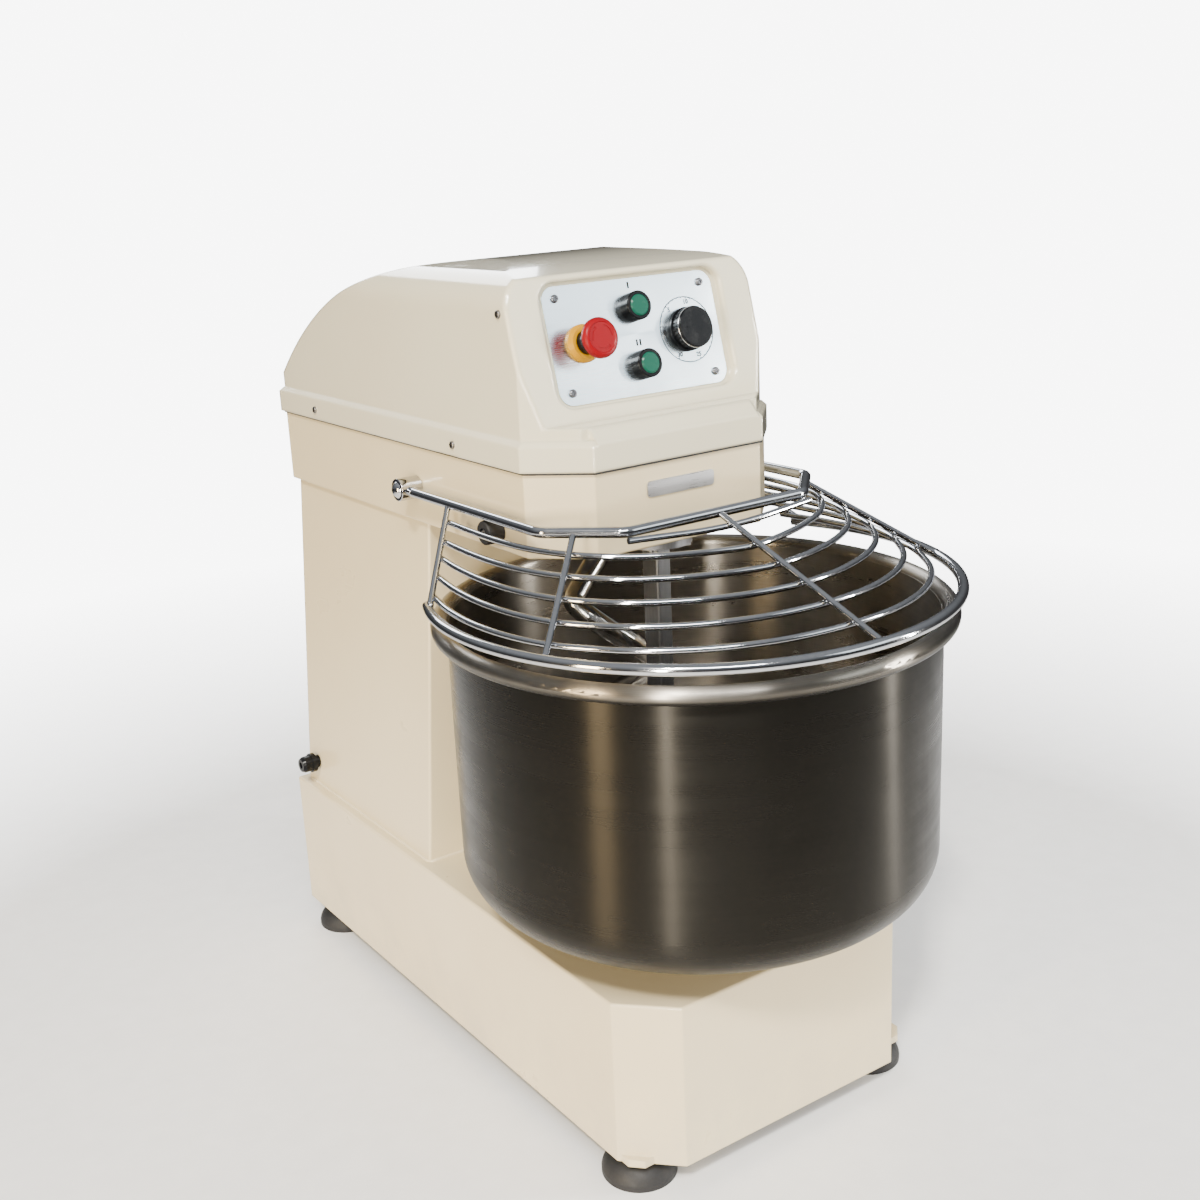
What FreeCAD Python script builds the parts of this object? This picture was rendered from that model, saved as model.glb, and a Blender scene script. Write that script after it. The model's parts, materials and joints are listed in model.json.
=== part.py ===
import FreeCAD
import Part
import Sketcher
import math
import os

# Spiral dough mixer of the 50 litre class.
# Frame: +Z up, Z = 0 on the floor, the machine faces -Y, X = 0 is its plane of symmetry.
# Sizes are laid out from the bowl axis; every sub-part is then moved along Y by
# origin_shift_y, which puts the frame origin under the centre of the machine.

DIMS = {
    # general layout
    "origin_shift_y": -174.25,
    "spiral_y": 160.0,
    "breaker_y": 56.0,
    "countershaft_y": 338.0,
    "layshaft_y": 190.0,
    "motor_y": 500.0,
    # base
    "base_bottom": 28.0,
    "base_top": 205.0,
    "base_half": 190.0,
    "base_front": -146.0,
    "base_rear": 617.0,
    "base_corner": 49.0,
    "base_wall": 4.0,
    "gusset_half": 34.0,
    "gusset_top": 36.0,
    "foot_x": 158.0,
    "foot_front": -89.0,
    "foot_rear": 570.0,
    "stud_radius": 8.0,
    "stud_hole": 8.05,
    "pad_radius": 38.5,
    # column
    "column_half_low": 178.0,
    "column_half_high": 148.0,
    "column_front_low": 278.0,
    "column_front_high": 270.0,
    "column_rear": 604.0,
    "column_wall": 3.0,
    "panel_sheet": 2.0,
    # head housing
    "head_bottom": 609.6,
    "head_plate": 4.0,
    "head_top": 695.0,
    "head_half": 154.0,
    "head_front": 10.6,
    "head_rear": 614.0,
    "head_corner": 50.0,
    "head_wall": 3.0,
    "lip_top": 714.0,
    # head cover
    "seam": 696.2,
    "flange_half": 157.5,
    "flange_front": 7.6,
    "flange_rear": 620.0,
    "flange_corner": 52.0,
    "flange_top": 726.0,
    "shelf_z": 738.0,
    "shelf_front": 22.0,
    "shelf_back": 46.0,
    "cover_half": 152.0,
    "cover_wall": 4.0,
    "cover_rear": 614.0,
    "cover_corner": 42.0,
    # control panel, measured on the tilted front face
    "panel_y": 75.5,
    "panel_z": 809.3,
    "panel_lean": 75.0,
    "plate_width": 210.0,
    "plate_height": 117.0,
    "plate_sheet": 1.5,
    "button_radius": 10.8,
    "button_bore": 11.2,
    "stem_radius": 4.95,
    "stem_bore": 5.0,
    "estop_stem": 5.95,
    "estop_bore": 6.0,
    "bezel_radius": 14.6,
    "bush_radius": 11.0,
    "bush_hole": 11.2,
    "button_high": 29.0,
    "estop_x": -67.0,
    "timer_x": 63.0,
    "screw_x": 90.0,
    "screw_v": 46.5,
    # bowl
    "bowl_radius": 249.0,
    "bowl_wall": 2.5,
    "bowl_bottom": 248.0,
    "bowl_round": 50.0,
    "rim_z": 542.0,
    "rim_roll": 9.0,
    "rim_centre": 256.0,
    # guard
    "guard_rod_radius": 5.5,
    "guard_wire_radius": 3.2,
    "guard_rod_half": 169.4,
    "guard_rod_front": -46.2,
    "guard_rod_corner": 59.0,
    "guard_rod_z": 648.7,
    "guard_ring_radius": 266.0,
    "guard_ring_z": 569.0,
    "guard_ring_end": 115.0,
    "guard_corner_x": 145.8,
    "guard_corner_y": -10.6,
    "guard_rear_y": 184.0,
    "hinge_y": 277.0,
    "hinge_z": 650.0,
    "hinge_pin_radius": 6.0,
    "hinge_bore_radius": 6.05,
    "bumper_y": 112.0,
    "bumper_z": 630.5,
    # spiral and shafts
    "hook_bar_radius": 12.0,
    "hook_coil_radius": 54.0,
    "hook_top": 574.0,
    "hook_floor": 272.0,
    "breaker_low": 262.0,
    "spiral_shaft_radius": 20.0,
    "bowl_shaft_radius": 20.0,
    "countershaft_radius": 12.5,
    "layshaft_radius": 12.5,
    "motor_shaft_radius": 14.0,
    "shaft_fit": 0.05,
    # pulley pitch radii
    "motor_pitch": 35.0,
    "input_pitch": 105.0,
    "spiral_drive_pitch": 45.0,
    "spiral_pitch": 90.0,
    "bowl_drive_pitch": 30.0,
    "layshaft_big_pitch": 95.0,
    "layshaft_small_pitch": 25.0,
    "bowl_pitch": 130.0,
    "pulley_width": 22.0,
    # belt levels, bottom face of each pulley
    "level_motor": 645.0,
    "level_spiral": 700.0,
    "level_layshaft": 112.0,
    "level_bowl": 66.0,
    # bolts
    "bolt_radius": 4.0,
    "bolt_hole": 4.05,
    "spiral_bolt": 42.0,
    "unit_bolt": 33.0,
    "motor_bolt": 62.0,
    "breaker_bolt": 23.0,
    "bowl_bolt": 44.0,
    "layshaft_bolt": 29.0,
    "screw_radius": 2.0,
    "screw_hole": 2.05,
    "screw_head_radius": 4.1,
}

doc = FreeCAD.newDocument("spiral_dough_mixer")
sheet = doc.addObject("Spreadsheet::Sheet", "Dims")
for row, (alias, value) in enumerate(DIMS.items(), start=1):
    sheet.set("A%d" % row, alias.replace("_", " "))
    sheet.set("B%d" % row, str(value))
    sheet.setAlias("B%d" % row, alias)
doc.recompute()

NODES = []
X_AXIS = FreeCAD.Vector(1, 0, 0)
Y_AXIS = FreeCAD.Vector(0, 1, 0)
Z_AXIS = FreeCAD.Vector(0, 0, 1)


def size(alias):
    return float(sheet.get(alias))


def signed_terms(text):
    """Splits 'a + b - 2*c' into (sign, factor, alias or None)."""
    terms = []
    sign = 1.0
    for word in str(text).split():
        if word == "+":
            sign = 1.0
            continue
        if word == "-":
            sign = -1.0
            continue
        factor = 1.0
        alias = None
        for piece in word.split("*"):
            if piece.startswith("-"):
                factor = -factor
                piece = piece[1:]
            if piece in DIMS:
                alias = piece
            else:
                factor *= float(piece)
        terms.append((sign, factor, alias))
        sign = 1.0
    return terms


def total(text):
    """The value in millimetres of a sum of sheet sizes and plain numbers."""
    result = 0.0
    for sign, factor, alias in signed_terms(text):
        result += sign * factor * (size(alias) if alias else 1.0)
    return result


def bound(text):
    """The same sum as an expression on the sheet."""
    parts = []
    for sign, factor, alias in signed_terms(text):
        value = "%.6g" % (sign * factor)
        parts.append("(%s)*Dims.%s" % (value, alias) if alias else "(%s)" % value)
    return " + ".join(parts)


def place(feature, x="0", y="0", z="0", rotation=None):
    """Puts a sub-part at its place in the machine, measured from the bowl axis."""
    whole_y = "%s + origin_shift_y" % y
    feature.Placement = FreeCAD.Placement(
        FreeCAD.Vector(total(x), total(whole_y), total(z)),
        rotation or FreeCAD.Rotation(),
    )
    feature.setExpression("Placement.Base.x", bound(x))
    feature.setExpression("Placement.Base.y", bound(whole_y))
    feature.setExpression("Placement.Base.z", bound(z))


def keep(feature, name):
    feature.Label = name
    NODES.append((name, feature))
    return feature


def new_body(name, x="0", y="0", z="0", rotation=None):
    body = doc.addObject("PartDesign::Body", name)
    place(body, x, y, z, rotation)
    return keep(body, name)


def new_sketch(body, name, role="XY_Plane", rise="0", turn=None, shift=None):
    sketch = body.newObject("Sketcher::SketchObject", name)
    support = [item for item in body.Origin.OriginFeatures if item.Role == role][0]
    sketch.AttachmentSupport = [(support, "")]
    sketch.MapMode = "FlatFace"
    base = shift or FreeCAD.Vector(0, 0, total(rise))
    sketch.AttachmentOffset = FreeCAD.Placement(base, turn or FreeCAD.Rotation())
    if shift is None and rise != "0":
        sketch.setExpression("AttachmentOffset.Base.z", bound(rise))
    return sketch


def pin_point(sketch, index, u, v):
    """Fixes the start of one sketch line at (u, v)."""
    for text, kind, axis in ((u, "DistanceX", -2), (v, "DistanceY", -1)):
        value = total(text)
        if abs(value) < 1e-9:
            sketch.addConstraint(Sketcher.Constraint("PointOnObject", index, 1, axis))
            continue
        place_at = sketch.addConstraint(Sketcher.Constraint(kind, -1, 1, index, 1, value))
        sketch.setExpression("Constraints[%d]" % place_at, bound(text))


def draw_outline(sketch, corners):
    """Closed outline of straight lines through the corners."""
    spots = [FreeCAD.Vector(total(u), total(v), 0) for u, v in corners]
    count = len(spots)
    first = sketch.GeometryCount
    for number, spot in enumerate(spots):
        sketch.addGeometry(Part.LineSegment(spot, spots[(number + 1) % count]), False)
    for number in range(count):
        there = first + (number + 1) % count
        sketch.addConstraint(Sketcher.Constraint("Coincident", first + number, 2, there, 1))
    for number, (u, v) in enumerate(corners):
        pin_point(sketch, first + number, u, v)
    return sketch


def draw_circle(sketch, u, v, radius):
    index = sketch.addGeometry(
        Part.Circle(FreeCAD.Vector(total(u), total(v), 0), Z_AXIS, total(radius)), False
    )
    for text, kind, axis in ((u, "DistanceX", -2), (v, "DistanceY", -1)):
        value = total(text)
        if abs(value) < 1e-9:
            sketch.addConstraint(Sketcher.Constraint("PointOnObject", index, 3, axis))
            continue
        at = sketch.addConstraint(Sketcher.Constraint(kind, -1, 1, index, 3, value))
        sketch.setExpression("Constraints[%d]" % at, bound(text))
    at = sketch.addConstraint(Sketcher.Constraint("Radius", index, total(radius)))
    sketch.setExpression("Constraints[%d]" % at, bound(radius))


def extrude(body, sketch, name, length, kind="Pad", backwards=False):
    feature = body.newObject("PartDesign::" + kind, name)
    feature.Profile = sketch
    feature.Type = "Length"
    feature.Length = total(length)
    feature.setExpression("Length", bound(length))
    feature.Reversed = backwards
    doc.recompute()
    return feature


def revolve(body, sketch, name, kind="Revolution"):
    feature = body.newObject("PartDesign::" + kind, name)
    feature.Profile = sketch
    feature.ReferenceAxis = (sketch, ["V_Axis"])
    feature.Angle = 360
    doc.recompute()
    return feature


def round_edges(body, name, radius, chosen, kind="Fillet"):
    """Rounds or chamfers the edges of the body's tip that chosen() accepts."""
    tip = body.Tip
    names = []
    for number, edge in enumerate(tip.Shape.Edges, start=1):
        if chosen(edge):
            names.append("Edge%d" % number)
    feature = body.newObject("PartDesign::" + kind, name)
    feature.Base = (tip, names)
    if kind == "Fillet":
        feature.Radius = total(radius)
        feature.setExpression("Radius", bound(radius))
    else:
        feature.Size = total(radius)
        feature.setExpression("Size", bound(radius))
    doc.recompute()
    return feature


def turned(name, profile, x="0", y="0", z="0", rotation=None):
    """A sub-part turned about its own vertical axis; profile is a list of (radius, height)."""
    body = new_body(name, x, y, z, rotation)
    sketch = new_sketch(body, name + "_profile", "XZ_Plane")
    draw_outline(sketch, profile)
    revolve(body, sketch, name + "_turning")
    return body


def upright(edge):
    box = edge.BoundBox
    return box.ZLength > 5 and box.XLength < 1e-4 and box.YLength < 1e-4


def square_of(x, y, offset):
    """Four (x, y) places at plus and minus one offset round a centre."""
    return [
        ("%s %s %s" % (x, sx, offset), "%s %s %s" % (y, sy, offset))
        for sx in "+-"
        for sy in "+-"
    ]


def drill(body, name, places, radius, rise, length):
    """Round holes straight down from a level."""
    sketch = new_sketch(body, name + "_circles", "XY_Plane", rise)
    for u, v in places:
        draw_circle(sketch, u, v, radius)
    return extrude(body, sketch, name, length, "Pocket")


def shape_node(name, shape, x="0", y="0", z="0", rotation=None):
    """A sub-part whose shape comes from Part functions."""
    feature = doc.addObject("Part::Feature", name)
    feature.Shape = shape
    place(feature, x, y, z, rotation)
    return keep(feature, name)


def chamfered_plan(half, front, rear, corner):
    """Plan outline with both front corners cut at 45 degrees."""
    return [
        ("-1*%s + %s" % (half, corner), front),
        ("%s - %s" % (half, corner), front),
        (half, "%s + %s" % (front, corner)),
        (half, rear),
        ("-1*%s" % half, rear),
        ("-1*%s" % half, "%s + %s" % (front, corner)),
    ]


def inset_plan(half, front, rear, corner, wall):
    """The same outline moved inwards by one wall thickness."""
    return [
        ("-1*%s + %s + 0.414*%s" % (half, corner, wall), "%s + %s" % (front, wall)),
        ("%s - %s - 0.414*%s" % (half, corner, wall), "%s + %s" % (front, wall)),
        ("%s - %s" % (half, wall), "%s + %s + 0.414*%s" % (front, corner, wall)),
        ("%s - %s" % (half, wall), "%s - %s" % (rear, wall)),
        ("-1*%s + %s" % (half, wall), "%s - %s" % (rear, wall)),
        ("-1*%s + %s" % (half, wall), "%s + %s + 0.414*%s" % (front, corner, wall)),
    ]


# ---------------------------------------------------------------- base
def make_base():
    body = new_body("base_frame")
    outline = chamfered_plan("base_half", "base_front", "base_rear", "base_corner")
    inner = inset_plan("base_half", "base_front", "base_rear", "base_corner", "base_wall")
    sketch = draw_outline(new_sketch(body, "base_outline", rise="base_bottom"), outline)
    extrude(body, sketch, "base_block", "base_top - base_bottom")
    round_edges(body, "base_bends", "2.5", lambda e: upright(e) or e.BoundBox.ZMin > size("base_top") - 0.01)
    sketch = draw_outline(new_sketch(body, "base_inside", rise="base_top - base_wall"), inner)
    extrude(body, sketch, "base_hollow", "base_top - base_wall - base_bottom", "Pocket")
    for number, (side, y) in enumerate([(s, w) for s in "+-" for w in ("foot_front", "foot_rear")]):
        x = "0 %s foot_x" % side
        edge = "base_half - base_wall + 1"
        outer = edge if side == "+" else "-1*base_half + base_wall - 1"
        near = "%s - gusset_half" % x if side == "+" else "%s + gusset_half" % x
        ends = ("%s - gusset_half" % y, "%s + gusset_half" % y)
        if y == "foot_front":
            tip = "%s - 12" % outer if side == "+" else "%s + 12" % outer
            corners = [(near, ends[0]), (tip, ends[0]), (outer, "%s + 12" % ends[0])]
            corners += [(outer, ends[1]), (near, ends[1])]
        else:
            corners = [(near, ends[0]), (outer, ends[0]), (outer, ends[1]), (near, ends[1])]
        sketch = draw_outline(new_sketch(body, "gusset_outline_%d" % number, rise="base_bottom"), corners)
        extrude(body, sketch, "gusset_%d" % number, "gusset_top - base_bottom")
    feet = [("0 %s foot_x" % s, y) for s in "+-" for y in ("foot_front", "foot_rear")]
    drill(body, "stud_holes", feet, "stud_hole", "gusset_top", "gusset_top - base_bottom")
    deep = "2*base_wall"
    drill(body, "bowl_housing_hole", [("0", "0")], "48.5", "base_top", deep)
    drill(body, "countershaft_hole", [("0", "countershaft_y")], "19", "base_top", deep)
    bolts = square_of("0", "0", "bowl_bolt") + square_of("0", "countershaft_y", "unit_bolt")
    bolts += square_of("0", "layshaft_y", "layshaft_bolt")
    drill(body, "base_bolt_holes", bolts, "bolt_hole", "base_top", deep)


def foot_places():
    return [
        FreeCAD.Vector(side * size("foot_x"), y, 0)
        for side in (-1, 1)
        for y in (size("foot_front"), size("foot_rear"))
    ]


def hexagon(across, height):
    """Hexagonal prism standing on Z = 0."""
    radius = across / math.sqrt(3)
    corners = [
        FreeCAD.Vector(radius * math.cos(math.radians(60 * k)), radius * math.sin(math.radians(60 * k)), 0)
        for k in range(7)
    ]
    return Part.Face(Part.makePolygon(corners)).extrude(FreeCAD.Vector(0, 0, height))


def copies(shape, places):
    """One separate solid for each place."""
    solids = []
    for spot in places:
        solid = shape.copy()
        solid.translate(spot)
        solids.append(solid)
    return Part.makeCompound(solids)


def make_feet():
    radius = size("pad_radius")
    dome = Part.Arc(
        FreeCAD.Vector(radius, 0, 6), FreeCAD.Vector(radius - 4, 0, 15), FreeCAD.Vector(radius - 15, 0, 22)
    ).toShape()
    rest = Part.makePolygon([
        FreeCAD.Vector(radius - 15, 0, 22),
        FreeCAD.Vector(size("stud_radius"), 0, 22),
        FreeCAD.Vector(size("stud_radius"), 0, 8),
        FreeCAD.Vector(0, 0, 8),
        FreeCAD.Vector(0, 0, 0),
        FreeCAD.Vector(radius, 0, 0),
        FreeCAD.Vector(radius, 0, 6),
    ])
    profile = Part.Face(Part.Wire([dome] + rest.Edges))
    pad = profile.revolve(FreeCAD.Vector(0, 0, 0), Z_AXIS, 360)
    shape_node("foot_pads", copies(pad, foot_places()))
    stud = Part.makeCylinder(size("stud_radius"), 52, FreeCAD.Vector(0, 0, 8))
    stud = stud.makeChamfer(1.0, [stud.Edges[0]])
    shape_node("foot_studs", copies(stud, foot_places()))
    nut = hexagon(24, 12).cut(Part.makeCylinder(size("stud_hole"), 12))
    nut.translate(FreeCAD.Vector(0, 0, size("gusset_top")))
    shape_node("foot_lock_nuts", copies(nut, foot_places()))


# ---------------------------------------------------------------- column
def frustum(low, high, z_low, z_high):
    """Solid with flat sides between two rectangles, each (half width, front, rear)."""
    spare = 5.0
    wide = max(low[0], high[0]) + spare
    near = min(low[1], high[1]) - spare
    far = max(low[2], high[2]) + spare
    front_view = [(-low[0], z_low), (low[0], z_low), (high[0], z_high), (-high[0], z_high), (-low[0], z_low)]
    side_view = [(low[1], z_low), (low[2], z_low), (high[2], z_high), (high[1], z_high), (low[1], z_low)]
    across = Part.Face(Part.makePolygon([FreeCAD.Vector(x, near, z) for x, z in front_view]))
    along = Part.Face(Part.makePolygon([FreeCAD.Vector(-wide, y, z) for y, z in side_view]))
    across = across.extrude(FreeCAD.Vector(0, far - near, 0))
    return across.common(along.extrude(FreeCAD.Vector(2 * wide, 0, 0))).Solids[0]


def make_column():
    wall = size("column_wall")
    z_low = size("base_top")
    z_high = size("head_bottom")
    low = (size("column_half_low"), size("column_front_low"), size("column_rear"))
    high = (size("column_half_high"), size("column_front_high"), size("column_rear"))
    outer = frustum(low, high, z_low, z_high)
    bends = [e for e in outer.Edges if e.BoundBox.ZLength > 100 and e.CenterOfMass.y < 400]
    outer = outer.makeFillet(3.0, bends)
    inner = frustum(
        (low[0] - wall, low[1] + wall, low[2] - wall),
        (high[0] - wall, high[1] + wall, high[2] - wall),
        z_low,
        z_high,
    )
    window = frustum(
        (low[0] - 30, 560, 640),
        (high[0] - 30, 560, 640),
        z_low + 30,
        z_high - 30,
    )
    shell = outer.cut(inner).cut(window)
    gland = Part.makeCylinder(8.05, 30, FreeCAD.Vector(-150, 578, 236), FreeCAD.Vector(-1, 0, 0))
    shell = shell.cut(gland)
    holes = [
        Part.makeCylinder(size("screw_hole"), 20, spot + FreeCAD.Vector(0, 6, 0), FreeCAD.Vector(0, -1, 0))
        for spot in panel_screw_places()
    ]
    shape_node("column_shell", shell.cut(Part.makeCompound(holes)))


def panel_screw_places():
    """Rear panel screws: three down each side, on the line between sheet edge and window."""
    low = size("column_half_low") - 15
    high = size("column_half_high") - 15
    spots = []
    for share in (0.08, 0.5, 0.9):
        z = size("base_top") + share * (size("head_bottom") - size("base_top"))
        half = low + share * (high - low)
        spots += [FreeCAD.Vector(s * half, size("column_rear") + size("panel_sheet"), z) for s in (-1, 1)]
    return spots


def make_rear_panel():
    z_low = size("base_top") + 4
    z_high = size("head_bottom") - 4
    y = size("column_rear")
    low = size("column_half_low") - 5
    high = size("column_half_high") - 5
    corners = [(-low, z_low), (low, z_low), (high, z_high), (-high, z_high), (-low, z_low)]
    outline = Part.Face(Part.makePolygon([FreeCAD.Vector(x, y, z) for x, z in corners]))
    panel = outline.extrude(FreeCAD.Vector(0, size("panel_sheet"), 0))
    for row in range(8):
        slot = Part.makeBox(90, 10, 5, FreeCAD.Vector(-45, y - 4, 300 + 14 * row))
        ends = [e for e in slot.Edges if e.BoundBox.YLength > 5]
        panel = panel.cut(slot.makeFillet(2.4, ends))
    for spot in panel_screw_places():
        start = spot + FreeCAD.Vector(0, 2, 0)
        panel = panel.cut(Part.makeCylinder(size("screw_hole"), 10, start, FreeCAD.Vector(0, -1, 0)))
    shape_node("column_rear_panel", panel)


def make_cable_gland():
    """Black nylon gland low on the left of the column; the cord itself is not part of it."""
    body = turned(
        "cable_gland",
        [("4.2", "-6"), ("8", "-6"), ("8", "5"), ("12.5", "5"), ("12.5", "11"), ("10.5", "11"),
         ("10.5", "20"), ("8.5", "24"), ("4.2", "24")],
        "-1*column_half_low + 1.5", "578", "236",
        FreeCAD.Rotation(Y_AXIS, -90),
    )
    return body


# ---------------------------------------------------------------- head housing
def make_head_housing():
    body = new_body("head_housing")
    outline = chamfered_plan("head_half", "head_front", "head_rear", "head_corner")
    inner = inset_plan("head_half", "head_front", "head_rear", "head_corner", "head_wall")
    sketch = draw_outline(new_sketch(body, "head_outline", rise="head_bottom"), outline)
    extrude(body, sketch, "head_block", "head_top - head_bottom")
    round_edges(body, "head_bends", "2.5", lambda e: upright(e) or e.BoundBox.ZMax < size("head_bottom") + 0.01)
    sketch = draw_outline(new_sketch(body, "lip_outline", rise="head_bottom + 20"), inner)
    extrude(body, sketch, "lip_block", "lip_top - head_bottom - 20")
    lip_inner = inset_plan("head_half", "head_front", "head_rear", "head_corner", "2*head_wall")
    sketch = draw_outline(new_sketch(body, "lip_inside", rise="lip_top"), lip_inner)
    extrude(body, sketch, "lip_hollow", "lip_top - head_bottom - head_plate", "Pocket")
    deep = "2*head_plate"
    plate = "head_bottom + head_plate"
    drill(body, "spiral_hole", [("0", "spiral_y")], "26", plate, deep)
    drill(body, "counter_hole", [("0", "countershaft_y")], "19", plate, deep)
    drill(body, "motor_hole", [("0", "motor_y")], "24", plate, deep)
    bolts = square_of("0", "spiral_y", "spiral_bolt") + square_of("0", "countershaft_y", "unit_bolt")
    bolts += square_of("0", "motor_y", "motor_bolt") + square_of("0", "breaker_y", "breaker_bolt")
    drill(body, "head_bolt_holes", bolts, "bolt_hole", plate, deep)
    side = new_sketch(body, "hinge_boss_circles", "YZ_Plane", "-1*head_half + head_wall - 1")
    draw_circle(side, "hinge_y", "hinge_z", "13")
    extrude(body, side, "hinge_boss_left", "14")
    side = new_sketch(body, "hinge_boss_circles_right", "YZ_Plane", "head_half - head_wall - 13")
    draw_circle(side, "hinge_y", "hinge_z", "13")
    extrude(body, side, "hinge_boss_right", "14")
    side = new_sketch(body, "hinge_bore_circles", "YZ_Plane", "-1*head_half - 20")
    draw_circle(side, "hinge_y", "hinge_z", "hinge_bore_radius")
    extrude(body, side, "hinge_bore", "2*head_half + 40", "Pocket", True)
    side = new_sketch(body, "side_hole_circles", "YZ_Plane", "-1*head_half - 20")
    draw_circle(side, "187", "708", "screw_hole")
    draw_circle(side, "517", "708", "screw_hole")
    draw_circle(side, "bumper_y", "bumper_z", "screw_hole")
    extrude(body, side, "side_holes", "2*head_half + 40", "Pocket", True)


def make_nameplate():
    """Plain plate without any lettering on the head's front face."""
    body = new_body("nameplate", "-1", "head_front", "669")
    sketch = new_sketch(body, "nameplate_outline", "XZ_Plane")
    draw_outline(sketch, [("-42", "-8"), ("42", "-8"), ("42", "8"), ("-42", "8")])
    extrude(body, sketch, "nameplate_sheet", "1.6")
    round_edges(body, "nameplate_corners", "4", lambda e: e.BoundBox.YLength > 1)
    return body


# ---------------------------------------------------------------- head cover
def panel_rotation():
    return FreeCAD.Rotation(X_AXIS, size("panel_lean"))


def panel_placement():
    """Local frame of the control panel: origin on the recess floor, Z outwards."""
    return FreeCAD.Placement(FreeCAD.Vector(0, size("panel_y"), size("panel_z")), panel_rotation())


def face_y(z, level):
    """Y of the tilted front face, raised by level above the recess floor, at height z."""
    lean = math.radians(size("panel_lean"))
    return size("panel_y") - level / math.sin(lean) + (z - size("panel_z")) / math.tan(lean)


def closed_face(edges):
    return Part.Face(Part.Wire(Part.__sortEdges__(edges)))


def outline_face(points):
    return Part.Face(Part.makePolygon(list(points) + [points[0]]))


def plan_points(half, front, rear, corner, z):
    """Corners of a plan outline with both front corners cut at 45 degrees."""
    flat = [
        (-half + corner, front), (half - corner, front), (half, front + corner),
        (half, rear), (-half, rear), (-half, front + corner),
    ]
    return [FreeCAD.Vector(x, y, z) for x, y in flat]


def side_face(inset, front, rear, level, low):
    """Side view of the cover: shelf, tilted front, long top arc and tangent rear arc."""
    shelf = size("shelf_z") - inset
    crest = 877 - inset
    points = {
        "toe": FreeCAD.Vector(0, front, low),
        "shelf": FreeCAD.Vector(0, front, shelf),
        "root": FreeCAD.Vector(0, face_y(shelf, level), shelf),
        "brow": FreeCAD.Vector(0, face_y(crest, level), crest),
        "joint": FreeCAD.Vector(0, 430 - 0.2 * inset, 852 - inset),
        "tail": FreeCAD.Vector(0, rear, 744 - 0.4 * inset),
        "heel": FreeCAD.Vector(0, rear, low),
    }
    crown = (points["brow"] + points["joint"]) * 0.5 + FreeCAD.Vector(0, 0, 22)
    top = Part.Arc(points["brow"], crown, points["joint"])
    inward = (top.toShape().Curve.Center - points["joint"]).normalize()
    chord = points["tail"] - points["joint"]
    radius = chord.dot(chord) / (2 * chord.dot(inward))
    centre = points["joint"] + inward * radius
    shoulder = centre + ((points["joint"] + points["tail"]) * 0.5 - centre).normalize() * radius
    arcs = [top.toShape(), Part.Arc(points["joint"], shoulder, points["tail"]).toShape()]
    order = ["tail", "heel", "toe", "shelf", "root", "brow"]
    lines = [Part.makeLine(points[a], points[b]) for a, b in zip(order, order[1:])]
    return closed_face(arcs + lines)


def front_face(half, inset, low):
    """Front view of the cover: straight sides, rounded shoulders, slightly crowned top."""
    base_z = 848 - inset
    shoulder = FreeCAD.Vector(half - 34, 0, 883 - inset)
    mirror = FreeCAD.Vector(-half + 34, 0, 883 - inset)
    right = FreeCAD.Vector(half, 0, base_z)
    left = FreeCAD.Vector(-half, 0, base_z)
    bend = FreeCAD.Vector(half - 8.5, 0, base_z + 22)
    bend_left = FreeCAD.Vector(-half + 8.5, 0, base_z + 22)
    low_right = FreeCAD.Vector(half, 0, low)
    low_left = FreeCAD.Vector(-half, 0, low)
    edges = [
        Part.makeLine(low_left, low_right),
        Part.makeLine(low_right, right),
        Part.Arc(right, bend, shoulder).toShape(),
        Part.Arc(shoulder, FreeCAD.Vector(0, 0, 892 - inset), mirror).toShape(),
        Part.Arc(mirror, bend_left, left).toShape(),
        Part.makeLine(left, low_left),
    ]
    return closed_face(edges)


def upper_block(inset, level, low):
    """Cover above its flange: the space shared by its side, front and plan outlines."""
    half = size("cover_half") - inset
    front = size("shelf_front") + inset
    rear = size("cover_rear") - inset
    corner = size("cover_corner") - 0.586 * inset
    side = side_face(inset, front, rear, level, low).extrude(FreeCAD.Vector(2 * half, 0, 0))
    side.translate(FreeCAD.Vector(-half, 0, 0))
    across = front_face(half, inset, low).extrude(FreeCAD.Vector(0, 700, 0))
    plan = outline_face(plan_points(half, front, rear, corner, low)).extrude(FreeCAD.Vector(0, 0, 250))
    return side.common(across).common(plan)


def flange_block(inset, low, high):
    half = size("flange_half") - inset
    front = size("flange_front") + inset
    rear = size("flange_rear") - inset
    corner = size("flange_corner") - 0.586 * inset
    plan = outline_face(plan_points(half, front, rear, corner, low))
    return plan.extrude(FreeCAD.Vector(0, 0, high - low))


def front_ledge():
    """Raised band along the foot of the tilted front."""
    points = [
        FreeCAD.Vector(-101, size("flange_front"), size("seam") + 10),
        FreeCAD.Vector(-101, size("flange_front"), 723.5),
        FreeCAD.Vector(-101, size("flange_front") + 4, 727),
        FreeCAD.Vector(-101, size("shelf_front") - 2, size("shelf_z") - 2),
        FreeCAD.Vector(-101, size("shelf_front") + 3, size("shelf_z")),
        FreeCAD.Vector(-101, 60, size("shelf_z")),
        FreeCAD.Vector(-101, 60, size("seam") + 10),
    ]
    return outline_face(points).extrude(FreeCAD.Vector(202, 0, 0))


def rounded_box(width, height, depth, corner):
    """Box centred on the local origin with rounded upright corners, standing on Z = 0."""
    box = Part.makeBox(width, height, depth, FreeCAD.Vector(-width / 2, -height / 2, 0))
    return box.makeFillet(corner, [e for e in box.Edges if e.BoundBox.ZLength > depth * 0.9])


def on_front_face(point, level):
    return abs(point.y - face_y(point.z, level)) < 0.05


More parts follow.
